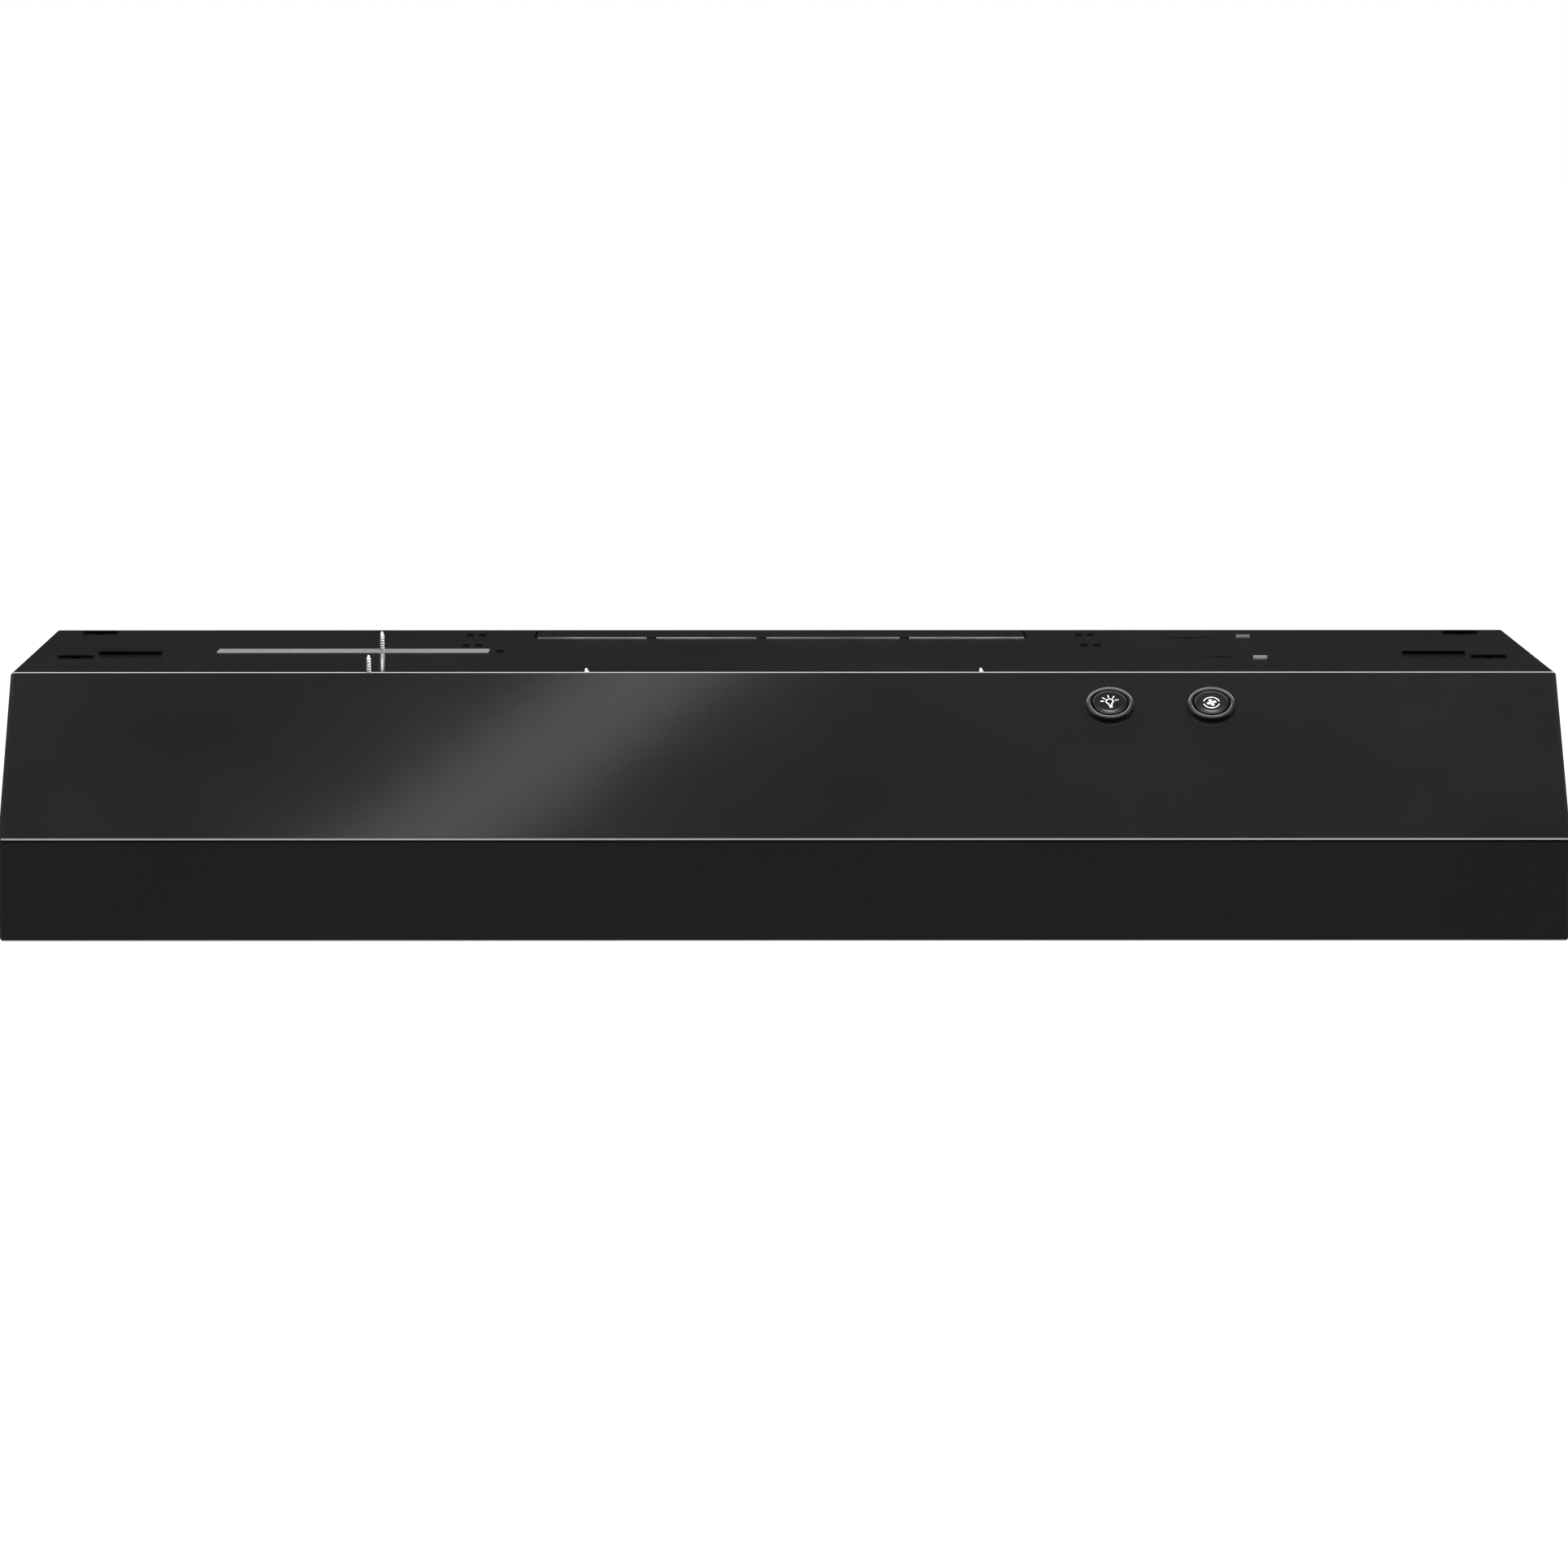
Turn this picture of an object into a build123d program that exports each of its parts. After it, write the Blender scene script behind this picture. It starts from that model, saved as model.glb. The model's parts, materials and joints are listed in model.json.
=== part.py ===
from build123d import *
from math import cos, hypot, radians, sin, tan
import os

# Under cabinet range hood for a 30 inch (762 mm) cooking width, made of folded sheet steel.
# Millimetres. X runs along the hood, -Y is the front, +Z is up. The origin is where the wall plane
# meets the underside of the cabinet, half way along the hood.

# Driving dimensions
WIDTH = 759.0
DEPTH = 445.0
HEIGHT = 125.0
TOP_DEPTH = 348.0
SLOPE_DROP = 75.0
LIP_LEAN = 10.0
SHEET = 0.8
BEND_R = 2.2
EDGE_R = 2.0
SIDE_RETURN = 12.0
LIP_RETURN = 17.0

# Mounting slots, louvres and knock-outs in the top sheet
SLOT_X = 355.0
SLOT_YS = (-234.0, -30.0)
SLOT_LENGTH = 18.0
SLOT_R = 2.5
SLOT_ENTRY_R = 5.0
LOUVRE_X = 329.0
LOUVRE_Y = -204.0
LOUVRE_LENGTH = 32.0
LOUVRE_RISE = 1.6
CUT_WIDTH = 1.2
DUCT_HALF = 127.0
DUCT_FRONT = -70.0
DUCT_REAR = -6.0
KNOCKOUT_RISE = 0.4
LANCE_LENGTH = 3.8
LANCE_RISE = 0.8
LANCE_PLACES = tuple((x, y) for x in (-161.4, -155.0, 155.0, 161.4) for y in (-135.0, -45.0))
CABLE_KNOCKOUTS = ((211.0, -60.0, 11.0), (220.0, -222.0, 9.0))

# Fasteners that come up through the top sheet: x, y and height of the tip
LAMP_SCREWS = ((-97.0, -342.0, 1.6), (97.0, -342.0, 1.6))
CLIP_SCREW = (-204.0, -342.0, 8.0)
BOX_SCREW = (-203.0, -171.0, 9.5)
SCREW_R = 2.0
HEAD_R = 4.2
HEAD_H = 2.6

# Rivets through the end panels and screws through the back sheet, in the YZ and XZ planes
RIVET_R = 1.6
RIVET_HEAD_R = 3.0
RIVET_PLACES = ((-410, -113), (-345, -113), (-290, -97.5), (-170, -97.5), (-50, -97.5))
BACK_SCREW_XS = (-300.0, -100.0, 100.0, 300.0)
BACK_SCREW_Z = -98.0

# Push buttons on the slope
BUTTON_XS = {"light": 159.5, "fan": 209.2}
BUTTON_DOWN = 25.5
BUTTON_R = 8.35
BUTTON_PROUD = 2.6
BUTTON_TRAVEL = 3.0
BEZEL_R = 11.65
BEZEL_RISE = 2.8
BEZEL_BORE_R = 8.9
BARREL_R = 9.8
SWITCH_SIZE = (24.0, 18.0, 22.0)

# Air box, fan and motor
BOX_HALF = 160.0
BOX_FRONT = -300.0
DECK_Z = -62.0
FAN_Y = -165.0
THROAT_R = 94.0
BLADE_R = 89.0
BLADE_COUNT = 5
BLADE_PITCH = 28.0
MOTOR_R = 42.0
MOTOR_BASE = -50.0
MOTOR_TOP = -12.0
ROTOR_R = 24.0
SHAFT_R = 4.0
RUNNING = 0.05
LOWER_JOINT = MOTOR_BASE + 12
UPPER_JOINT = MOTOR_TOP - 12
MOTOR_BOLT_R = 1.8
MOTOR_BOLT_PLACES = tuple(
    (37.5 * cos(radians(a)), FAN_Y + 37.5 * sin(radians(a))) for a in (45, 135, 225, 315)
)
BRACKET_SCREWS = tuple((x, FAN_Y + y) for x in (-14, 14) for y in (-109, 109))

# Front pan, lamp and lens
PAN_Z = -118.0
PAN_REAR = -322.0
PAN_FRONT = -430.0
REFLECTOR_REAR = -336.0
LENS_HALF = 94.0
LENS_YS = (-420.0, -337.0)
LENS_AXIS = (-333.0, -121.2)
LENS_PIN_R = 1.25
BULB_Y = -376.0
BULB_Z = -85.0
BULB_R = 24.0

# Grease filters
FILTER_X = (8.0, 361.0)
FILTER_Y = (-321.5, -23.0)
FILTER_Z = (-113.0, -104.0)
FILTER_AXIS = (-26.0, -108.5)
FILTER_PIN_R = 2.0
FRAME_WIDTH = 12.0
MESH_SHEET = 0.5
LEDGE_Z = -102.6
PULL_Y = -303.0
PULL_Z = -115.2
PULL_R = 1.1

# Wiring box at the right rear
WIRING_X = (197.0, 246.0)
WIRING_Y = (-245.0, -3.0)
WIRING_Z = -46.0
TAB_X = 240.0
TAB_YS = (-232.0, -56.0)
TAB_RISE = 0.8
COVER_SCREW = (201.5, -230.0)

# Leads between the wiring box, the switches, the lamp and the motor
LEAD_R = 2.5
FAN_LEAD_Y = -120.0
LEAD_Z = -25.0

SLOPE_RUN = DEPTH - TOP_DEPTH
SLOPE_LENGTH = hypot(SLOPE_RUN, SLOPE_DROP)
SLOPE_NORMAL = (0, -SLOPE_DROP / SLOPE_LENGTH, SLOPE_RUN / SLOPE_LENGTH)
SLOPE = Plane(origin=(0, -TOP_DEPTH, 0), x_dir=(1, 0, 0), z_dir=SLOPE_NORMAL).location
PROFILE = (
    (0, 0),
    (-TOP_DEPTH, 0),
    (-DEPTH, -SLOPE_DROP),
    (-DEPTH + LIP_LEAN, -HEIGHT),
    (0, -HEIGHT),
)


def block(x, y, z):
    """Box between a low and a high limit on each axis."""
    limits = (sorted(x), sorted(y), sorted(z))
    size = [high - low for low, high in limits]
    middle = [(high + low) / 2 for low, high in limits]
    return Pos(*middle) * Box(*size)


def upright(x, y, z, radius):
    """Cylinder along Z between two heights."""
    low, high = sorted(z)
    return Pos(x, y, (low + high) / 2) * Cylinder(radius, high - low)


def crosswise(x, y, z, radius):
    """Cylinder along X between two places."""
    low, high = sorted(x)
    return Pos((low + high) / 2, y, z) * Rot(0, 90, 0) * Cylinder(radius, high - low)


def along_x(points, x):
    """Closed outline of (y, z) points, run along X between two limits."""
    low, high = sorted(x)
    face = make_face(Polyline(*[(low, y, z) for y, z in points], close=True))
    return extrude(face, amount=high - low, dir=(1, 0, 0))


def turned(points, x=0.0, y=0.0):
    """Closed outline of (radius, z) points, spun round an upright axis."""
    face = make_face(Polyline(*[(r, 0, z) for r, z in points], close=True))
    return Pos(x, y, 0) * revolve(face, Axis.Z)


def group(solids):
    """Like solids kept apart in one node."""
    return Part() + list(solids)


def mirrored(shape, side):
    """The shape itself on the right, its mirror image on the left."""
    return shape if side > 0 else mirror(shape, Plane.YZ)


def on_slope(x, down, rise=0.0):
    """Place on the slope: along the hood, down from the top bend, and out from the sheet."""
    return SLOPE * Pos(x, -down, rise)


def hood_solid(inset):
    """The hood's outside shape as a solid, with every face moved in by inset."""
    outline = make_face(Polyline(*[(0, y, z) for y, z in PROFILE], close=True))
    if inset:
        outline = offset(outline, -inset, kind=Kind.INTERSECTION)
    half = WIDTH / 2 - inset
    body = extrude(Pos(-half, 0, 0) * outline, amount=2 * half, dir=(1, 0, 0))
    bends = body.edges().filter_by(Axis.X).filter_by(lambda e: e.center().Y < -TOP_DEPTH / 2)
    body = fillet(bends, BEND_R - inset)
    low = -HEIGHT + inset
    rims = body.edges().filter_by(lambda e: abs(abs(e.center().X) - half) < 0.01)
    rims = rims.filter_by(lambda e: e.center().Z > low + 0.01 and e.center().Y < -inset - 0.01)
    return fillet(rims, EDGE_R - inset)


def mounting_slot(x, y):
    """Slot along the hood with a round entry at its front for the screw head."""
    straight = SLOT_LENGTH / 2 - SLOT_R
    cut = block((x - straight, x + straight), (y - SLOT_R, y + SLOT_R), (-2, 1))
    for side in (-1, 1):
        cut += upright(x + side * straight, y, (-2, 1), SLOT_R)
    return cut + upright(x, y - 1.5, (-2, 1), SLOT_ENTRY_R)


def louvre(x, y, length, rise, depth):
    """Raised lance, open to the front: what is added to the sheet, and what is cut under it."""
    wall = 0.6
    span = (x - length / 2, x + length / 2)
    inner = (span[0] + wall, span[1] - wall)
    hood = along_x([(y, -SHEET), (y, rise), (y + depth, 0), (y + depth, -SHEET)], span)
    slope = rise / depth
    void = along_x(
        [
            (y - 0.4, -SHEET - 1),
            (y - 0.4, rise - wall),
            (y + depth - wall / slope - 0.5, 0),
            (y + depth - wall / slope - 0.5, -SHEET - 1),
        ],
        inner,
    )
    return hood, void


def cut_line(start, end):
    """Narrow shear cut between two places on the top sheet, along X or along Y."""
    half = CUT_WIDTH / 2
    if start[1] == end[1]:
        return block((start[0], end[0]), (start[1] - half, start[1] + half), (-2, 1))
    return block((start[0] - half, start[0] + half), (start[1], end[1]), (-2, 1))


def duct_cuts():
    """Perforated outline of the duct knock-out in the top sheet, held by bridges."""
    stops = (-121, -69, -65, -12, -8, 62, 66, 121)
    cuts = []
    for y in (DUCT_FRONT, DUCT_REAR):
        cuts += [cut_line((a, y), (b, y)) for a, b in zip(stops[::2], stops[1::2])]
        cuts += [cut_line((side * 123, y), (side * DUCT_HALF, y)) for side in (-1, 1)]
    middle = (DUCT_FRONT + DUCT_REAR) / 2
    for side in (-1, 1):
        x = side * DUCT_HALF
        cuts.append(cut_line((x, DUCT_FRONT + 2), (x, middle - 2)))
        cuts.append(cut_line((x, middle + 2), (x, DUCT_REAR - 2)))
    return cuts


def ring_cuts(radius, depth=4.0):
    """Perforated circle of a cable knock-out: three arcs with bridges between them."""
    ring = Cylinder(radius + 0.5, depth) - Cylinder(radius - 0.5, depth)
    for turn in range(3):
        ring -= Rot(0, 0, 120 * turn + 30) * Pos(radius, 0, 0) * Box(6, 2.4, depth)
    return ring


def raised_knockouts():
    """Knock-outs half sheared from the top sheet, a little proud of it."""
    edge = CUT_WIDTH / 2
    level = (-SHEET / 2, KNOCKOUT_RISE)
    wide = (edge - DUCT_HALF, DUCT_HALF - edge)
    plates = [block(wide, (DUCT_FRONT + edge, DUCT_REAR - edge), level)]
    return plates + [upright(x, y, level, r - 0.5) for x, y, r in CABLE_KNOCKOUTS]


def top_cuts():
    """Everything cut through the top sheet."""
    cuts = duct_cuts()
    for side in (-1, 1):
        cuts += [mounting_slot(side * SLOT_X, y) for y in SLOT_YS]
    cuts += [Pos(x, y, 0) * ring_cuts(r) for x, y, r in CABLE_KNOCKOUTS]
    cuts += [block((TAB_X - 4.2, TAB_X + 4.2), (y - 1.6, y + 1.6), (-2, 1)) for y in TAB_YS]
    for x, y, _ in (*LAMP_SCREWS, CLIP_SCREW, BOX_SCREW):
        cuts.append(upright(x, y, (-2, 1), SCREW_R + 0.3))
    return cuts


def canopy_wrapper():
    """Top, slope, lip and folded edges, bent from one sheet."""
    shell = hood_solid(0) - hood_solid(SHEET)
    inner_lip = -DEPTH + LIP_LEAN + LIP_RETURN
    shell -= block((-WIDTH, WIDTH), (inner_lip, 10), (-HEIGHT - 1, -HEIGHT + 5))
    shell -= block((-WIDTH, WIDTH), (-SHEET, 10), (-HEIGHT - 1, -SHEET))
    window = make_face(Polyline(*[(0, y, z) for y, z in PROFILE], close=True))
    window = offset(window, -SIDE_RETURN, kind=Kind.INTERSECTION)
    window = extrude(Pos(-WIDTH, 0, 0) * window, amount=2 * WIDTH, dir=(1, 0, 0))
    window += block((-WIDTH, WIDTH), (-SIDE_RETURN - 5, 10), (-HEIGHT - 1, -SIDE_RETURN))
    front_foot = -DEPTH + LIP_LEAN + SIDE_RETURN + 3
    window += block((-WIDTH, WIDTH), (front_foot, 0), (-HEIGHT - 1, -HEIGHT + SIDE_RETURN + 5))
    sides = block((-WIDTH, -WIDTH / 2 + EDGE_R), (-DEPTH - 1, 10), (-HEIGHT - 1, 5))
    sides += block((WIDTH / 2 - EDGE_R, WIDTH), (-DEPTH - 1, 10), (-HEIGHT - 1, 5))
    shell -= window & sides
    for side in (-1, 1):
        raised = [louvre(side * LOUVRE_X, LOUVRE_Y, LOUVRE_LENGTH, LOUVRE_RISE, 16)]
        raised += [louvre(side * SLOT_X, y + SLOT_R + 1, SLOT_LENGTH, 1.2, 18) for y in SLOT_YS]
        for hood, void in raised:
            shell = shell + hood - void
    for x, y in (*LANCE_PLACES, (-143, -183)):
        hood, void = louvre(x, y, LANCE_LENGTH, LANCE_RISE, 6)
        shell = shell + hood - void
    for plate in raised_knockouts():
        shell += plate
    for cut in top_cuts():
        shell -= cut
    for x in BUTTON_XS.values():
        shell -= on_slope(x, BUTTON_DOWN) * Cylinder(BARREL_R + 0.1, 6)
    return shell


def end_panel(side):
    """Flat side plate behind the folded edge, flanged in at the bottom and the back."""
    outer = WIDTH / 2 - SHEET - 0.02
    inner = outer - SHEET
    outline = make_face(Polyline(*[(0, y, z) for y, z in PROFILE], close=True))
    outline = offset(outline, -(SHEET + 2.0), kind=Kind.INTERSECTION)
    plate = extrude(Pos(inner, 0, 0) * outline, amount=SHEET, dir=(1, 0, 0))
    foot_front = -DEPTH + LIP_LEAN + LIP_RETURN + 2
    plate += block((inner, outer), (foot_front, -SHEET), (-HEIGHT, -HEIGHT + 10))
    plate += block((inner, outer), (-10, -SHEET), (-HEIGHT, -SHEET - 2))
    plate += block((inner - 10, outer), (foot_front, -SHEET), (-HEIGHT, -HEIGHT + SHEET))
    plate += block((inner - 12, outer), (-2 * SHEET, -SHEET), (-HEIGHT, -SHEET - 2))
    for y, z in RIVET_PLACES:
        plate -= crosswise((inner - 1, outer + 1), y, z, RIVET_R + 0.02)
    return mirrored(plate, side)


def end_rivets():
    """Pop rivets through the end panels, heads outside."""
    outer = WIDTH / 2 - SHEET - 0.02
    rivets = []
    for side in (-1, 1):
        for y, z in RIVET_PLACES:
            shank = crosswise((side * (outer - 2 * SHEET - 1.4), side * outer), y, z, RIVET_R)
            rivets.append(shank + crosswise((side * outer, side * (outer + 0.75)), y, z, RIVET_HEAD_R))
    return group(rivets)


def back_panel():
    """Back sheet with the rear duct knock-out and a cable knock-out."""
    edge = WIDTH / 2 - SHEET - 0.1
    panel = block((-edge, edge), (-SHEET, 0), (-HEIGHT, -SHEET - 0.02))
    for z in (-14.0, -58.0):
        for low, high in ((-121, -42), (-38, 38), (42, 121)):
            panel -= block((low, high), (-2, 1), (z - 0.6, z + 0.6))
    for side in (-1, 1):
        panel -= block((side * DUCT_HALF - 0.6, side * DUCT_HALF + 0.6), (-2, 1), (-56, -16))
    panel -= Pos(221, 0, -24) * Rot(90, 0, 0) * ring_cuts(11)
    for x in BACK_SCREW_XS:
        panel -= Pos(x, 0, BACK_SCREW_Z) * Rot(90, 0, 0) * Cylinder(SCREW_R + 0.1, 4)
    return panel


def back_screws():
    """Screws from inside that hold the rear filter rail to the back sheet, flush with its outside."""
    screws = []
    for x in BACK_SCREW_XS:
        inward = Pos(x, -0.05, BACK_SCREW_Z) * Rot(90, 0, 0)
        shank = inward * Pos(0, 0, 1.0) * Cylinder(SCREW_R, 2.0)
        screws.append(shank + inward * Pos(0, 0, 1.57 + HEAD_H / 2) * Cylinder(HEAD_R - 0.8, HEAD_H))
    return group(screws)


def top_screw(x, y, tip, seat):
    """Sheet metal screw driven up through the top sheet, hex head under the part that it holds."""
    shank = upright(x, y, (seat, tip - 1.2), SCREW_R)
    point = Pos(x, y, tip - 0.6) * Cone(SCREW_R, SCREW_R * 0.4, 1.2)
    head = Pos(x, y, seat - HEAD_H) * extrude(RegularPolygon(HEAD_R, 6), amount=HEAD_H)
    return shank + point + head + upright(x, y, (seat - 0.8, seat), HEAD_R + 0.5)


def air_box():
    """Folded box under the top sheet that holds the fan and leads the air to the duct outlets."""
    wall = (BOX_HALF, BOX_HALF + SHEET)
    deck = block((-wall[1], wall[1]), (BOX_FRONT - SHEET, -SHEET - 0.05), (DECK_Z - SHEET, DECK_Z))
    deck += block((-wall[1], wall[1]), (BOX_FRONT - SHEET, BOX_FRONT), (DECK_Z, -SHEET - 0.02))
    under_top = (-2 * SHEET, -SHEET - 0.02)
    deck += block((-wall[1], wall[1]), (BOX_FRONT - 12, BOX_FRONT), under_top)
    for side in (-1, 1):
        deck += block((side * wall[0], side * wall[1]), (BOX_FRONT, -SHEET - 0.05), (DECK_Z, -SHEET - 0.02))
        deck += block((side * wall[0], side * (wall[0] + 12)), (BOX_FRONT, -SHEET - 0.05), under_top)
    deck += block((-212, -wall[0]), (BOX_SCREW[1] - 9, BOX_SCREW[1] + 9), under_top)
    deck -= upright(BOX_SCREW[0], BOX_SCREW[1], (-5, 1), SCREW_R + 0.1)
    deck -= upright(0, FAN_Y, (DECK_Z - 5, DECK_Z + 5), THROAT_R + 2)
    deck -= crosswise((BOX_HALF - 1, BOX_HALF + 2), FAN_LEAD_Y, LEAD_Z, 6)
    for x, y in BRACKET_SCREWS:
        deck -= upright(x, y, (DECK_Z - 5, DECK_Z + 5), SCREW_R + 0.1)
    return deck


def inlet_ring():
    """Rolled ring that guides air into the fan, flanged under the deck, flared at the mouth."""
    base = DECK_Z - SHEET
    ring = turned(
        [
            (THROAT_R, base),
            (THROAT_R + 14, base),
            (THROAT_R + 14, base - 1),
            (THROAT_R + 1, base - 1),
            (THROAT_R + 1, base - 14),
            (THROAT_R + 3, base - 18),
            (THROAT_R + 8, base - 21),
            (THROAT_R + 8, base - 22),
            (THROAT_R + 2.4, base - 19),
            (THROAT_R, base - 14.4),
        ],
        0,
        FAN_Y,
    )
    for x, y in BRACKET_SCREWS:
        ring -= upright(x, y, (DECK_Z - 5, DECK_Z + 5), HEAD_R + 1.3)
    return ring


def motor_bracket():
    """Strap across the fan opening, stepped up to carry the motor."""
    half, thick = 22.0, 1.5
    foot, rise = 118.0, MOTOR_BASE - 1.5
    steps = [(-foot, DECK_Z), (-99, DECK_Z), (-90, rise), (90, rise), (99, DECK_Z), (foot, DECK_Z)]
    lower = [(FAN_Y + y, z) for y, z in steps]
    upper = [(y, z + thick) for y, z in reversed(lower)]
    strap = along_x(lower + upper, (-half, half))
    strap += upright(0, FAN_Y, (rise, rise + thick), MOTOR_R + 2)
    strap -= upright(0, FAN_Y, (rise - 1, rise + 3), 12)
    for x, y in BRACKET_SCREWS:
        strap -= upright(x, y, (DECK_Z - 1, DECK_Z + 3), SCREW_R + 0.1)
    for x, y in MOTOR_BOLT_PLACES:
        strap -= upright(x, y, (rise - 1, rise + 3), MOTOR_BOLT_R + 0.1)
    return strap


def motor_bell(seat, end, opening):
    """Pressed cup that closes one end of the motor: seat is the joint, end the outer face."""
    up = 1 if end > seat else -1
    cup = upright(0, FAN_Y, (seat, end), MOTOR_R)
    cup -= upright(0, FAN_Y, (seat - up, end - up * 2), MOTOR_R - 2)
    cup += upright(0, FAN_Y, (end - up * 6, end), 10)
    cup -= upright(0, FAN_Y, (end - up * 7, end + up), 7)
    for x, y in MOTOR_BOLT_PLACES:
        cup -= upright(x, y, (seat - up, end + up), MOTOR_BOLT_R + 0.1)
    for turn in range(opening):
        angle = radians(360 / opening * turn)
        cup -= upright(24 * cos(angle), FAN_Y + 24 * sin(angle), (end - up * 4, end + up), 5)
    return cup


def motor_stator():
    """Stack of laminations between the bells."""
    stack = upright(0, FAN_Y, (LOWER_JOINT, UPPER_JOINT), MOTOR_R + 2)
    stack -= upright(0, FAN_Y, (LOWER_JOINT - 1, UPPER_JOINT + 1), ROTOR_R + 0.6)
    for x, y in MOTOR_BOLT_PLACES:
        stack -= upright(x, y, (LOWER_JOINT - 1, UPPER_JOINT + 1), MOTOR_BOLT_R + 0.1)
    return stack


def motor_windings():
    """Coil ends over and under the stack."""
    coils = []
    for z in ((LOWER_JOINT - 5, LOWER_JOINT - 0.05), (UPPER_JOINT + 0.05, UPPER_JOINT + 5)):
        coils.append(upright(0, FAN_Y, z, 35) - upright(0, FAN_Y, (z[0] - 1, z[1] + 1), ROTOR_R + 1.5))
    return group(coils)


def motor_bearings():
    """Two bronze bushes."""
    bushes = []
    for z in ((MOTOR_BASE, MOTOR_BASE + 6), (MOTOR_TOP - 6, MOTOR_TOP)):
        bushes.append(upright(0, FAN_Y, z, 6.98) - upright(0, FAN_Y, (z[0] - 1, z[1] + 1), SHAFT_R + RUNNING))
    return group(bushes)


def motor_bolts():
    """Four through bolts with nuts under the bracket."""
    bolts = []
    low, high = MOTOR_BASE - 1.5, MOTOR_TOP
    for x, y in MOTOR_BOLT_PLACES:
        bolt = upright(x, y, (low - 3.5, high), MOTOR_BOLT_R)
        bolt += upright(x, y, (high, high + 2), 3.2)
        bolt += Pos(x, y, low - 2.6) * extrude(RegularPolygon(3.6, 6), amount=2.6)
        bolts.append(bolt)
    return group(bolts)


def bracket_screws():
    """Screws down through the bracket feet and the deck, with the tips below it."""
    screws = []
    seat = DECK_Z + 1.5
    for x, y in BRACKET_SCREWS:
        shank = upright(x, y, (seat - 6, seat), SCREW_R)
        screws.append(shank + Pos(x, y, seat) * extrude(RegularPolygon(HEAD_R, 6), amount=HEAD_H))
    return group(screws)


def fan_impeller():
    """Hub with pitched blades, trimmed to the throat."""
    low, high = -82.0, -60.0
    hub = upright(0, FAN_Y, (low, high), 21)
    blades = []
    for turn in range(BLADE_COUNT):
        blade = Pos(54, 0, 0) * Rot(BLADE_PITCH, 0, 0) * Box(72, 44, 1.6)
        blades.append(Pos(0, FAN_Y, -71) * Rot(0, 0, 360 / BLADE_COUNT * turn) * blade)
    wheel = hub + blades
    wheel = wheel & upright(0, FAN_Y, (low, high), BLADE_R)
    return wheel - upright(0, FAN_Y, (low - 1, high + 1), SHAFT_R + 0.02)


def capacitor():
    """Run capacitor on the deck beside the motor."""
    can = block((104, 142), (-262, -242), (DECK_Z, DECK_Z + 27))
    return fillet(can.edges().filter_by(Axis.Z), 4)


def wiring_box():
    """Four walls round the house wiring, tabs up through the top sheet, flanges for the cover."""
    (x0, x1), (y0, y1) = WIRING_X, WIRING_Y
    top = -SHEET - 0.02
    box = block((x0, x1), (y0, y1), (WIRING_Z, top))
    box -= block((x0 + SHEET, x1 - SHEET), (y0 + SHEET, y1 + 1), (WIRING_Z + SHEET, 1))
    box -= block((x0 + 8, x1 - 8), (y0 + 8, y1 + 1), (WIRING_Z - 1, WIRING_Z + 2))
    box -= crosswise((x0 - 1, x0 + 2), FAN_LEAD_Y, LEAD_Z, 6)
    box -= Pos(220, y0, LEAD_Z) * Rot(90, 0, 0) * Cylinder(6, 5)
    for y in TAB_YS:
        box += block((TAB_X - 3.5, TAB_X + 3.5), (y - 0.5, y + 0.5), (top - 8, TAB_RISE))
        box += block((TAB_X - 3.5, x1 - SHEET / 2), (y - 0.5, y + 0.5), (top - 8, top - 0.2))
    box -= upright(COVER_SCREW[0], COVER_SCREW[1], (WIRING_Z - 1, WIRING_Z + 2), SCREW_R + 0.1)
    return box


def wiring_cover():
    """Flat plate that closes the wiring box from below."""
    (x0, x1), (y0, y1) = WIRING_X, WIRING_Y
    plate = block((x0, x1), (y0, y1), (WIRING_Z - SHEET, WIRING_Z))
    plate += block((x0, x1), (y0 - SHEET, y0), (WIRING_Z - SHEET, WIRING_Z + 5))
    return plate - upright(COVER_SCREW[0], COVER_SCREW[1], (WIRING_Z - 3, WIRING_Z + 2), SCREW_R + 0.1)


def under_screw(x, y, seat, length):
    """Screw driven up from below, its head under the seat."""
    return upright(x, y, (seat, seat + length), SCREW_R) + upright(x, y, (seat - HEAD_H, seat), HEAD_R)


def bezel(x):
    """Rounded ring round a button, with a barrel through the slope."""
    edge, crest, bore = BEZEL_R, BEZEL_RISE, BEZEL_BORE_R
    ring = [
        (bore, -6.0),
        (BARREL_R, -6.0),
        (BARREL_R, 0.02),
        (edge, 0.02),
        (edge, crest * 0.35),
        (edge - 0.45, crest * 0.75),
        (edge - 1.2, crest),
        (bore + 0.5, crest),
        (bore, crest - 0.5),
    ]
    face = make_face(Polyline(*[(r, 0, z) for r, z in ring], close=True))
    return on_slope(x, BUTTON_DOWN) * revolve(face, Axis.Z)


def button(x):
    """Round cap on a stem that runs in the switch."""
    cap = Pos(0, 0, BUTTON_PROUD / 2 - 0.6) * Cylinder(BUTTON_R, BUTTON_PROUD + 1.2)
    cap = fillet(cap.edges().sort_by(Axis.Z)[-1], 0.8)
    stem = Pos(0, 0, -6.6) * Cylinder(3.0, 11.0)
    return on_slope(x, BUTTON_DOWN) * (cap + stem)


def switch_body(x):
    """Push switch in its case, with a well for the stem."""
    wide, tall, deep = SWITCH_SIZE
    case = Pos(0, 0, -6.02 - deep / 2) * Box(wide, tall, deep)
    case -= Pos(0, 0, -11) * Cylinder(3.3, 10.2)
    case += Pos(0, 0, -6.02 - deep - 2) * Box(10, 8, 4)
    return on_slope(x, BUTTON_DOWN) * case


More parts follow.
